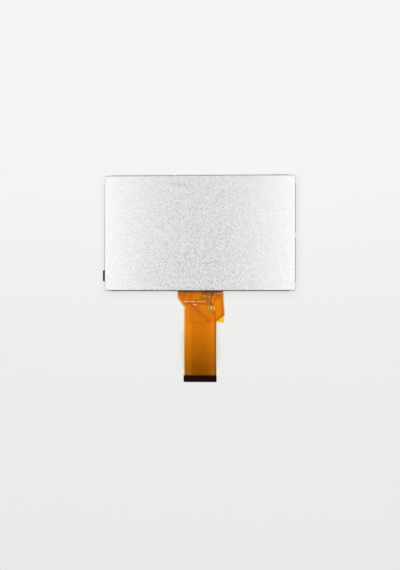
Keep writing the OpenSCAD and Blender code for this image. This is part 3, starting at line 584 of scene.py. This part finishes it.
# Tones of the lead's film: cloudy part, its pale, bright and warm patches, and its foot
LEAD_DARK, LEAD_MIDDLE = (0.310, 0.098, 0.009), (0.520, 0.170, 0.022)
LEAD_PALE, LEAD_BRIGHT, LEAD_WARM = (0.660, 0.250, 0.045), (0.720, 0.310, 0.080), (0.560, 0.170, 0.015)
FOOT_DARK, FOOT_MIDDLE = (0.300, 0.092, 0.006), (0.560, 0.200, 0.030)
FOOT_GOLD, FOOT_BROWN = (0.560, 0.240, 0.004), (0.300, 0.070, 0.002)


def film_colour(f, looks):
    """Colour of the flex circuit's film by place: the tail's lanes, the head's zones and its margins."""
    outer_lanes = f.below(f.x, -9.2, 0.8) * f.step(f.drop, 12.5, 4.0)
    in_tail = f.most(outer_lanes, f.step(f.drop, TAPE_DROP - 0.3, 0.7))
    in_tail = in_tail * f.below(f.x, TAIL_RIGHT + 0.1, 0.2)
    colour = f.mix(in_tail, head_zones(f, looks), tail_lanes(f))
    return shaded_ends(f, clear_margins(f, looks, head_lines(f, looks, colour)))


def tail_lanes(f):
    """Lanes of copper along the tail, with painted shade that darkens them where the film bends down to
    the stiffener.
    """
    width = TAIL_RIGHT - TAIL_LEFT
    lanes = f.ramp((f.x - TAIL_LEFT) / width, [((x - TAIL_LEFT) / width, tone) for x, tone in LANES])
    sides = abs(f.x) / TAIL_RIGHT
    # painted shade of the bend, lighter towards the sides
    painted_bend_shade = 1 - f.most(f.drop - BEND_DROP, 0.0) * (BEND_SHADE - sides * sides * SIDE_SHADE)
    level = painted_bend_shade * (0.935 + (f.noise(3.0, stretch=(1, 0.25, 1)) - 0.5) * 0.07)
    thin_line = f.band(f.x, -12.2, -11.4, 0.3) * f.step(f.drop, 38, 8)
    return f.shade(lanes, level * (1 - thin_line * 0.18))


def head_zones(f, looks):
    """Broad patches of the head: fanned lines at the left, golden, reddish and brown patches in the
    middle, bare film at the right."""
    grain = f.noise(2.2, detail=3)
    fan = f.node("ShaderNodeTexNoise", {"noise_dimensions": "1D"},
                 {"W": (f.x + f.drop * FAN_LEAN) / FAN_WIDTH, "Scale": 1.0, "Detail": 2.0})
    in_fan = f.below(f.x, -2.5, 5) * f.below(f.drop, 7.0, 3.5)
    film = f.shade(looks.amber, 0.93 + grain * 0.14 + (fan - 0.53) * in_fan * FAN_CONTRAST)
    over_ink = f.band(f.x, -9.5, 4.0, 2.0) * f.band(f.drop, 6.8, 8.8, 1.0)
    top_right = f.step(f.x, 13.0, 1.0) * f.below(f.drop, 6.5, 3.0)
    return f.paint(
        film,
        (looks.golden, f.spot((-18.6, 3.0), (1.8, 3.4)) * 0.5),
        (RED_FILM, f.spot((-14.8, 6.0), (3.6, 1.6)) * 0.7),
        (looks.bright, f.spot((-12.0, 5.9), (1.8, 1.1)) * 0.5),
        (looks.golden, f.spot((-2.6, 4.6), (3.4, 3.0)) * f.step(grain, 0.46, 0.2)),
        (looks.brown, f.spot((3.2, 6.2), (3.8, 1.9)) * 0.75),
        (looks.brown, over_ink * (0.25 + f.step(grain, 0.5, 0.3) * 0.6)),
        (looks.bright, f.spot((4.6, 16.8), (4.6, 4.0)) * 0.28),
        (looks.bright, f.band(f.x, 12.9, 18.2, 0.9) * f.band(f.drop, 6.5, 21.5, 2.5)),
        (looks.brown, f.band(f.x, 18.2, 20.6, 0.7) * f.step(f.drop, 7.0, 3.0) * 0.42),
        (looks.brown, top_right * (0.15 + f.step(grain, 0.5, 0.25) * 0.7)))


def head_lines(f, looks, colour):
    """Bundles, single wide lines and dark spots that cross the head, and the lead's own lines."""
    colour = f.paint(
        colour,
        (looks.rust, f.band(f.x, -12.0, 6.0, 1.5) * f.band(f.drop, 9.9, 11.6, 0.8) * 0.90),
        (looks.rust, f.stroke((-6.4, 12.8), (7.6, 26.2), 2.6, 2.2) * 0.55),
        (looks.rust, f.stroke((-3.0, 12.4), (8.8, 24.0), 0.8, 1.2) * 0.35),
        (looks.brown, f.stroke((-9.0, 12.5), (-9.0, 26.0), 0.5, 0.5) * 0.45),
        (looks.brown, f.stroke((19.7, 20.6), (14.0, 25.2), 1.5, 0.9) * 0.80),
        (looks.dark_line, f.stroke((13.2, 17.5), (13.4, 27.0), 0.7, 0.6) * 0.70),
        (looks.dark_line, f.spot((13.1, 6.9), (1.3, 0.9)) * 0.70),
        (looks.dark_line, f.spot((11.6, 18.8), (1.1, 0.9)) * 0.75),
        (looks.clear_film, f.stroke((15.0, 1.9), (18.8, 1.9), 0.5, 0.6) * 0.60))
    return lead_outline(f, looks, colour)


def lead_outline(f, looks, colour):
    """The painted shadow line and the painted highlight along the lead's edge, which cross from the lead
    to the film.
    """
    for setting, width, route in LEAD_LINES:
        marks = [f.stroke(start, end, width, 0.6) for start, end in zip(route, route[1:])]
        colour = f.mix(f.most(*marks) * 0.75, colour, getattr(looks, setting))
    return colour


def clear_margins(f, looks, colour):
    """Bare film along the tail's edges, the left slant and the head's sides."""
    slant = ((HEAD_LEFT, SLANT_DROPS[0]), (TAIL_LEFT + 0.4, SLANT_DROPS[1]))
    colour = f.mix(f.stroke(*slant, 4.2, 1.6) * 0.7, colour, SLANT_GLOW)
    tail_left = f.below(f.x, TAIL_LEFT + 0.65, 0.6) * f.step(f.drop, 14.0, 1.0)
    # bare film at the tail's right edge, painted pale enough to also stand in for light over the shadow
    # along that edge
    tail_right = f.step(f.x, TAIL_RIGHT - 0.3, 0.3) * f.step(f.drop, 26.2, 0.8) * 0.8
    head_left = f.below(f.x, HEAD_LEFT + 0.7, 0.6) * 0.45
    head_right = f.step(f.x - f.drop * FLARE, 19.25, 0.6) * 0.5 * f.below(f.drop, 20.0, 1.0)
    margin = f.most(tail_left, tail_right, f.stroke(*slant, 1.5, 0.9), f.most(head_left, head_right))
    return f.mix(margin, colour, looks.clear_film)


def shaded_ends(f, colour):
    """Painted shadow on the film under the module's edge, and darker film against the stiffener."""
    painted_edge_shadow = f.below(f.drop, 0.9, 1.6)
    at_end = f.step(f.drop, TAIL_DROP - 0.9, 1.4)
    return f.shade(colour, (1 - painted_edge_shadow * 0.65) * (1 - at_end * 0.25))


def amber_film(looks):
    """Glossy polyimide film with copper behind it, and a line over the tape's end."""
    f = Finish("amber_film", Specular_IOR_Level=0.02)
    tape_line = f.band(f.drop, TAPE_DROP - 0.7, TAPE_DROP + 0.2, 0.5) * f.band(f.x, -11.6, 12.0, 0.4)
    f.set("Base Color", f.shade(film_colour(f, looks), 1 - tape_line * 0.22))
    f.set("Roughness", 0.22 + f.noise(5, detail=3) * 0.14)
    f.bump(f.noise(3.5), 0.02)
    return f


def covered_copper(looks):
    """Copper lines seen through the cover film: a slightly deeper tone of the film's colour."""
    f = Finish("covered_copper", Specular_IOR_Level=0.02)
    f.set("Base Color", f.shade(film_colour(f, looks), 0.93 + f.noise(3) * 0.06))
    f.set("Roughness", 0.24 + f.noise(1.2) * 0.10)
    return f


def lead_film(looks):
    """Brown-amber film of the light strip's lead: cloudy at the top, dark and gold round its foot."""
    f = Finish("lead_film", Specular_IOR_Level=0.03)
    cloud = f.noise(1.5, detail=3)
    colour = f.paint(
        f.mix(f.step(cloud, 0.5, 0.3), LEAD_DARK, LEAD_MIDDLE),
        (LEAD_PALE, f.spot((4.0, 4.4), (2.6, 1.3)) * 0.7),
        (LEAD_BRIGHT, f.spot((8.0, 5.2), (0.9, 0.8)) * 0.8),
        (LEAD_WARM, f.spot((1.4, 5.6), (2.4, 2.0)) * 0.6),
        (looks.amber, f.below(f.x, 1.6, 2.0) * 0.7),
        (f.mix(f.step(cloud, 0.5, 0.15), FOOT_DARK, FOOT_MIDDLE), f.step(f.drop, 7.4, 1.6) * 0.7),
        # painted shadow beside the lead's right edge
        (looks.dark_line, f.spot((9.6, 10.8), (0.9, 1.4)) * 0.8),
        (FOOT_GOLD, f.band(f.drop, 12.4, 17.0, 0.8) * 0.75),
        (FOOT_BROWN, f.spot((11.4, 18.4), (1.5, 0.9)) * 0.8))
    # painted shadow of the module's edge over the lead
    painted_edge_shadow = f.below(f.drop, 0.8, 1.4)
    f.set("Base Color", f.shade(lead_outline(f, looks, colour), 1 - painted_edge_shadow * 0.6))
    f.set("Roughness", 0.22 + cloud * 0.14)
    f.bump(cloud, 0.05)
    return f


def gold_plate():
    """Gold-plated copper."""
    return grained("gold_plate", ((0.86, 0.58, 0.18), (0.95, 0.70, 0.28)), 0.4, (0.22, 0.12), Metallic=1.0)


def fluxed_pad():
    """Gold pad under a thin film of flux."""
    f = Finish("fluxed_pad", Specular_IOR_Level=0.2)
    flux = f.noise(0.6)
    f.set("Base Color", f.mix(flux, (0.50, 0.22, 0.006), (0.66, 0.32, 0.020)))
    f.set("Metallic", 0.3 + flux * 0.3)
    f.set("Roughness", 0.34 + flux * 0.12)
    return f


def dark_stiffener():
    """Dark brown stiffener, almost black, with faint streaks."""
    return grained("dark_stiffener", ((0.010, 0.002, 0.0015), (0.018, 0.004, 0.003)), 2.0, (0.28, 0.12),
                   stretch=(0.3, 1, 1), Specular_IOR_Level=0.02)


def yellow_tape():
    """Yellow tape with shallow ripples."""
    f = Finish("yellow_tape", Specular_IOR_Level=0.10)
    cloud = f.noise(2.5)
    f.set("Base Color", f.mix(cloud, (0.82, 0.50, 0.006), (0.92, 0.60, 0.012)))
    f.set("Roughness", 0.25 + cloud * 0.1)
    f.bump(f.noise(1.6), 0.04)
    return f


CHIP_PITCH = 2.9                            # between the chip components under the tape


def chip_ceramic(name, body, half_l, first):
    """Chip components: each a ceramic body between two tinned ends, from the place of the first."""
    f = Finish(name)
    aside = f.math("PINGPONG", f.x - first, CHIP_PITCH / 2)
    tinned = f.step(aside, half_l * 0.6, 0.03)
    grit = f.noise(0.15)
    f.set("Base Color", f.mix(tinned, f.shade(body, 0.9 + grit * 0.2), (0.78, 0.77, 0.74)))
    f.set("Metallic", tinned)
    f.set("Roughness", 0.35 + grit * 0.1)
    return f


def bright_solder():
    """Golden solder, dull with flux on its flanks and on the left joint."""
    f = Finish("bright_solder")
    ripple = f.noise(0.5)
    middle = (JOINT_LOW.x + JOINT_HIGH.x) / (2 * MM)
    aside = f.math("PINGPONG", f.x - middle, SOLDER_PITCH / MM / 2)
    flux = f.most(f.step(aside, 0.45, 0.3), f.below(f.x, middle - 1.2, 0.5))
    metal = f.mix(ripple, (0.74, 0.40, 0.060), (0.88, 0.54, 0.120))
    f.set("Base Color", f.mix(flux * 0.85, metal, (0.55, 0.24, 0.006)))
    f.set("Metallic", 1 - flux * 0.8)
    f.set("Roughness", 0.34 + ripple * 0.16)
    f.bump(ripple, 0.03)
    return f


def white_ink():
    """Printed white ink, thin enough that the film's amber tints it."""
    return grained("white_ink", ((0.86, 0.62, 0.36), (0.94, 0.74, 0.50)), 0.12, (0.5, 0.1))


def stage_paper(colour, fall, glow):
    """Matt floor with painted shade that makes it a little darker towards -Y, its shadows eased for the
    camera, clear from below.
    """
    f = Finish("stage_paper", Roughness=0.95, Specular_IOR_Level=0.0, Emission_Strength=1.0)
    # painted shade: the floor darkens towards -Y
    even = f.shade(colour, 1 - f.below(f.y, -50.0, 260.0) * fall)
    eased = f.node("ShaderNodeLightPath", out="Is Camera Ray") * glow[0]
    f.set("Base Color", f.shade(even, 1 - eased))
    f.set("Emission Color", f.shade(even, eased * glow[1]))
    clear = f.node("ShaderNodeBsdfTransparent")
    back = f.node("ShaderNodeNewGeometry", out="Backfacing")
    both = f.node("ShaderNodeMixShader", {}, {0: back, 1: Wire(f, f.shader.outputs[0]), 2: clear})
    output = next(n for n in f.tree.nodes if n.type == "OUTPUT_MATERIAL")
    f.tree.links.new(both.socket, output.inputs[0])
    return f


# ---------------------------------------------------------------- modelling


def start_piece(add, **place):
    """Adds a primitive on its own and returns it in edit mode with everything selected."""
    bpy.ops.object.select_all(action="DESELECT")
    add(**place)
    piece = bpy.context.object
    bpy.ops.object.mode_set(mode="EDIT")
    bpy.ops.mesh.select_all(action="SELECT")
    return piece


def settle(piece):
    """Leaves edit mode and puts the piece's place, turn and size into its mesh."""
    bpy.ops.object.mode_set(mode="OBJECT")
    bpy.ops.object.transform_apply(location=True, rotation=True, scale=True)
    return piece


def choose(*pieces):
    """Selects pieces alone and makes the first of them active."""
    bpy.ops.object.select_all(action="DESELECT")
    for piece in pieces:
        piece.select_set(True)
    bpy.context.view_layer.objects.active = pieces[0]


def join(pieces):
    """Joins pieces to the first of them."""
    choose(*pieces)
    bpy.ops.object.join()
    return pieces[0]


def apply_modifier(piece, kind, **values):
    """Adds a modifier to the active piece, sets it and applies it."""
    modifier = piece.modifiers.new("rounding", kind)
    for name, value in values.items():
        setattr(modifier, name, value)
    bpy.ops.object.modifier_apply(modifier=modifier.name)


def pick(piece, wanted):
    """Selects the vertices whose place passes a test, and leaves the piece in edit mode."""
    bpy.ops.object.mode_set(mode="EDIT")
    bpy.ops.mesh.select_mode(type="VERT")
    bpy.ops.mesh.select_all(action="DESELECT")
    bpy.ops.object.mode_set(mode="OBJECT")
    for vertex in piece.data.vertices:
        vertex.select = wanted(vertex.co / MM)
    bpy.ops.object.mode_set(mode="EDIT")


def slab(low, high, bevel=0.0):
    """A block between two corners (mm), its edges rounded where a bevel is given."""
    centre = [(a + b) / 2 * MM for a, b in zip(low, high)]
    size = [(b - a) * MM for a, b in zip(low, high)]
    piece = settle(start_piece(bpy.ops.mesh.primitive_cube_add, size=1, location=centre, scale=size))
    if bevel:
        apply_modifier(piece, "BEVEL", width=bevel * MM, segments=2, limit_method="ANGLE")
    return piece


# Rings of a mound, upwards: share of its height, and how much narrower and shorter it is there
RING_CUTS = 3                               # cuts of each side, which give rings at its quarters
MOUND_RINGS = ((0.5, 0.95, 0.98), (0.75, 0.82, 0.94), (1.0, 0.55, 0.82))
NEAR = 0.1                                  # share of the height within which a place is on a ring
CROWN, CROWN_SPREAD = 0.22, (0.2, 0.3)      # the crown's share of the height, width and length


def mound(low, high):
    """A low mound between two corners (mm): a block that narrows upwards and has a raised crown."""
    full = high[2] - low[2]
    height = full * (1 - CROWN)
    middle = [(a + b) / 2 for a, b in zip(low, high)]
    piece = slab(low, (high[0], high[1], low[2] + height))
    bpy.ops.object.mode_set(mode="EDIT")
    bpy.ops.mesh.select_all(action="SELECT")
    bpy.ops.mesh.subdivide(number_cuts=RING_CUTS)
    for rise, narrow, shorten in MOUND_RINGS:
        level = low[2] + height * rise
        pick(piece, lambda place: abs(place.z - level) < height * NEAR)
        bpy.ops.transform.resize(value=(narrow, shorten, 1),
                                 center_override=(middle[0] * MM, middle[1] * MM, level * MM))
    pick(piece, lambda place: place.z > low[2] + height * (1 - NEAR)
         and abs(place.x - middle[0]) < (high[0] - low[0]) * CROWN_SPREAD[0]
         and abs(place.y - middle[1]) < (high[1] - low[1]) * CROWN_SPREAD[1])
    bpy.ops.transform.translate(value=(0, 0, full * CROWN * MM))
    bpy.ops.object.mode_set(mode="OBJECT")
    apply_modifier(piece, "SUBSURF", levels=2, render_levels=2)
    return piece


def row_of_three(piece):
    """Copies a finished piece to both sides at the solder's pitch, and joins the copies to it."""
    row = [piece]
    for side in (-1, 1):
        copy = piece.copy()
        copy.data = piece.data.copy()
        bpy.context.collection.objects.link(copy)
        copy.data.transform(Matrix.Translation((side * SOLDER_PITCH, 0, 0)))
        row.append(copy)
    return join(row)


# ---------------------------------------------------------------- operators


def scene_settings(name):
    """One of the scene's setting groups."""
    return getattr(bpy.context.scene, name)


def keep_piece(piece, name, finish, replaced=()):
    """Names a finished piece, gives it its finish and ties it to the module's one body."""
    piece.name = name
    piece.data.name = name
    piece.data.materials.clear()
    piece.data.materials.append(finish.material)
    choose(piece)
    bpy.ops.object.shade_smooth_by_angle(angle=math.radians(35))
    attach(piece, "root")
    if replaced:
        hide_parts(*replaced)


class DISPLAY_OT_housing(bpy.types.Operator):
    """Finishes the steel shield and the white moulded frame"""

    bl_idname = "display.housing"
    bl_label = "Housing"

    def execute(self, context):
        dress(coated_steel(scene_settings("shield_looks")), "rear_shield")
        dress(white_moulding(), "mold_frame")
        return {"FINISHED"}


class DISPLAY_OT_cell(bpy.types.Operator):
    """Finishes the display cell: glasses, polarizers, drivers, tape and protective film"""

    bl_idname = "display.cell"
    bl_label = "Cell"

    def execute(self, context):
        dress(dark_screen(), "front_polarizer")
        dress(clear_film(), "protective_film")
        dress(green_tab(), "film_pull_tab")
        dress(cell_glass("array_glass", (0.020, 0.024, 0.024), (0.10, 0.17, 0.14)), "array_glass")
        dress(cell_glass("filter_glass", (0.012, 0.013, 0.014), (0.09, 0.15, 0.125)), "color_filter_glass")
        dress(cured_seal(), "cell_seal")
        dress(grey_polarizer(), "rear_polarizer")
        dress(polished_silicon(), "source_driver_1", "source_driver_2", "gate_driver")
        dress(black_tape(), "driver_cover_tape", "panel_tape")
        return {"FINISHED"}


class DISPLAY_OT_backlight(bpy.types.Operator):
    """Finishes the backlight: reflector, light guide, films and diodes"""

    bl_idname = "display.backlight"
    bl_label = "Backlight"

    def execute(self, context):
        dress(white_reflector(), "reflector_sheet")
        dress(printed_guide(), "light_guide")
        dress(milky_film(), "lower_diffuser", "upper_diffuser")
        dress(prism_film(), "lower_prism_sheet", "upper_prism_sheet")
        diodes = [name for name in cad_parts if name.startswith("led_") and name != "led_strip"]
        dress(diode_housing(), *diodes)
        return {"FINISHED"}


class DISPLAY_OT_flex(bpy.types.Operator):
    """Finishes the flex circuit, the light strip's lead, the tape and the chips"""

    bl_idname = "display.flex"
    bl_label = "Flex circuit"

    def execute(self, context):
        looks = scene_settings("flex_looks")
        dress(amber_film(looks), "flex_circuit")
        dress(covered_copper(looks), "flex_conductors")
        dress(lead_film(looks), "led_strip")
        dress(gold_plate(), "contact_fingers")
        dress(dark_stiffener(), "contact_stiffener")
        dress(yellow_tape(), "component_tape")
        dress(chip_ceramic("chip_capacitor", (0.42, 0.27, 0.16), 0.8, -1.5), "chip_capacitors")
        dress(chip_ceramic("chip_resistor", (0.03, 0.03, 0.035), 0.5, 0.6), "chip_resistors")
        dress(bright_solder(), "solder_joints")
        return {"FINISHED"}


# Printed bars: the drop of each row, and where its bars begin and end
INK_ROWS = ((9.2, ((-14.0, -9.9), (-9.0, -4.6), (-2.4, -0.6), (0.8, 2.2), (3.5, 4.1))),
            (11.5, ((-6.3, -2.8),)))
INK_T = 0.012                               # ink over the copper ridges
SINK = 0.02                                 # how deep bars and pads reach into what carries them
PAD_T, PAD_MARGIN = 0.03, 0.25              # a pad's thickness, and its length past the solder's ends
BEAD_FOOT = 0.02                            # where solder begins over the lead's face, inside its pad


class DISPLAY_OT_ink(bpy.types.Operator):
    """Prints plain white bars on the flex circuit's head"""

    bl_idname = "display.ink"
    bl_label = "Printed bars"

    def execute(self, context):
        high = scene_settings("flex_looks").ink_bar / MM
        foot = FILM_TOP / MM - SINK
        top = FILM_TOP / MM + LINE_T / MM + INK_T
        bars = []
        for drop, row in INK_ROWS:
            y = EDGE_Y / MM - drop
            for left, right in row:
                bars.append(slab((left, y - high / 2, foot), (right, y + high / 2, top), bevel=0.01))
        keep_piece(join(bars), "ink_bars", white_ink())
        return {"FINISHED"}


class DISPLAY_OT_solder(bpy.types.Operator):
    """Models gold pads on the lead's foot and rounded solder over them"""

    bl_idname = "display.solder"
    bl_label = "Pads and solder"

    def execute(self, context):
        looks = scene_settings("flex_looks")
        low, high = JOINT_LOW / MM, JOINT_HIGH / MM
        middle = (low.x + high.x) / 2
        half_pad, half_bead = looks.pad_w / MM / 2, looks.bead_w / MM / 2
        pad = slab((middle - half_pad, low.y - PAD_MARGIN, low.z - SINK),
                   (middle + half_pad, high.y + PAD_MARGIN, low.z + PAD_T), bevel=0.015)
        keep_piece(row_of_three(pad), "foot_pads", fluxed_pad())
        bead = mound((middle - half_bead, low.y, low.z + BEAD_FOOT),
                     (middle + half_bead, high.y, high.z))
        keep_piece(row_of_three(bead), "solder_beads", bright_solder(),
                   replaced=("solder_joints",))
        return {"FINISHED"}


FLOOR_GAP = 0.05 * MM                       # of the floor below the module
CLIP = (0.01, 20)                           # nearest and farthest distance that the camera shows
# Name, place, turn about X and Y (degrees), size and power of the soft boxes
LAMPS = (("left_box", (-0.74, 0.10, 1.15), (0, -33), (0.85, 1.2), 5.08),
         ("right_box", (0.60, 0.10, 1.15), (0, 29), (0.85, 1.2), 5.22),
         ("top_box", (0.0, 1.15, 1.05), (-48, 0), (1.4, 0.7), 5.2))
# Grey of the world from straight below to straight above
WORLD_STOPS = ((0.0, (0.12, 0.12, 0.12)), (0.15, (0.20, 0.20, 0.20)), (0.5, (0.38, 0.38, 0.38)),
               (1.0, (0.56, 0.56, 0.56)))


class DISPLAY_OT_stage(bpy.types.Operator):
    """Makes the floor, the lamps and the camera"""

    bl_idname = "display.stage"
    bl_label = "Stage"

    def execute(self, context):
        stage = scene_settings("stage_looks")
        centre = (0, (FLEX_LOW.y + SHIELD_HIGH.y) / 2, -FLOOR_GAP)
        floor = settle(start_piece(bpy.ops.mesh.primitive_circle_add, vertices=96,
                                   radius=stage.floor_r, fill_type="NGON", location=centre))
        floor.name = "floor"
        floor.data.materials.append(stage_paper(stage.floor, stage.floor_fall, stage.floor_glow).material)
        self.light_world(context)
        self.hang_lamps()
        self.place_camera(context, stage)
        return {"FINISHED"}

    @staticmethod
    def light_world(context):
        """Soft even light from above that fades towards the horizon."""
        world = bpy.data.worlds.new("studio")
        context.scene.world = world
        world.use_nodes = True
        tree = world.node_tree
        tree.nodes.clear()
        place = tree.nodes.new("ShaderNodeTexCoord")
        split = tree.nodes.new("ShaderNodeSeparateXYZ")
        ramp = tree.nodes.new("ShaderNodeValToRGB")
        sky = tree.nodes.new("ShaderNodeBackground")
        output = tree.nodes.new("ShaderNodeOutputWorld")
        Finish.fill_ramp(ramp.color_ramp, WORLD_STOPS)
        tree.links.new(place.outputs["Generated"], split.inputs[0])
        tree.links.new(split.outputs["Z"], ramp.inputs[0])
        tree.links.new(ramp.outputs[0], sky.inputs["Color"])
        tree.links.new(sky.outputs[0], output.inputs["Surface"])

    @staticmethod
    def hang_lamps():
        """Soft boxes on both sides of the camera and beyond the module, turned to it."""
        for name, place, turn, size, power in LAMPS:
            data = bpy.data.lights.new(name, "AREA")
            data.shape = "RECTANGLE"
            data.size, data.size_y = size
            data.energy = power
            lamp = bpy.data.objects.new(name, data)
            bpy.context.collection.objects.link(lamp)
            lamp.location = place
            lamp.rotation_euler = (math.radians(turn[0]), math.radians(turn[1]), 0)

    @staticmethod
    def place_camera(context, stage):
        """A long lens over the middle of the module and its tail, leaning a little to the side."""
        middle = Vector((*stage.view_centre, SHIELD_HIGH.z))
        tilt = stage.camera_tilt
        data = bpy.data.cameras.new("camera")
        data.sensor_fit = "VERTICAL"
        data.angle_y = 2 * math.atan(stage.view_height / 2 / stage.camera_distance)
        data.clip_start, data.clip_end = CLIP
        camera = bpy.data.objects.new("camera", data)
        context.collection.objects.link(camera)
        camera.location = middle + Vector((math.sin(tilt), 0, math.cos(tilt))) * stage.camera_distance
        camera.rotation_euler = (0, tilt, 0)
        context.scene.camera = camera


class DISPLAY_PT_panel(bpy.types.Panel):
    """Lists the settings and the steps that dress the module"""

    bl_idname = "DISPLAY_PT_panel"
    bl_label = "Display Module"
    bl_space_type = "VIEW_3D"
    bl_region_type = "UI"
    bl_category = "Display Module"

    def draw(self, context):
        for name, group in GROUPS.items():
            box = self.layout.box()
            box.label(text=name.replace("_", " ").capitalize())
            for prop in group.__annotations__:
                box.prop(getattr(context.scene, name), prop)
        for step in STEPS:
            self.layout.operator(step.bl_idname)


GROUPS = {"shield_looks": ShieldLooks, "flex_looks": FlexLooks, "stage_looks": StageLooks}
STEPS = (DISPLAY_OT_housing, DISPLAY_OT_cell, DISPLAY_OT_backlight, DISPLAY_OT_flex, DISPLAY_OT_ink,
         DISPLAY_OT_solder, DISPLAY_OT_stage)


def register():
    """Registers the settings, steps and panel."""
    for kind in (*GROUPS.values(), *STEPS, DISPLAY_PT_panel):
        bpy.utils.register_class(kind)
    for name, group in GROUPS.items():
        setattr(bpy.types.Scene, name, bpy.props.PointerProperty(type=group))


def unregister():
    """Removes them again."""
    for name in GROUPS:
        delattr(bpy.types.Scene, name)
    for kind in reversed((*GROUPS.values(), *STEPS, DISPLAY_PT_panel)):
        bpy.utils.unregister_class(kind)


def main():
    """Runs every step in order."""
    register()
    context = bpy.context
    context.scene.view_settings.view_transform = "Standard"
    for step in STEPS:
        family, name = step.bl_idname.split(".")
        getattr(getattr(bpy.ops, family), name)()


if __name__ == "__main__":
    main()
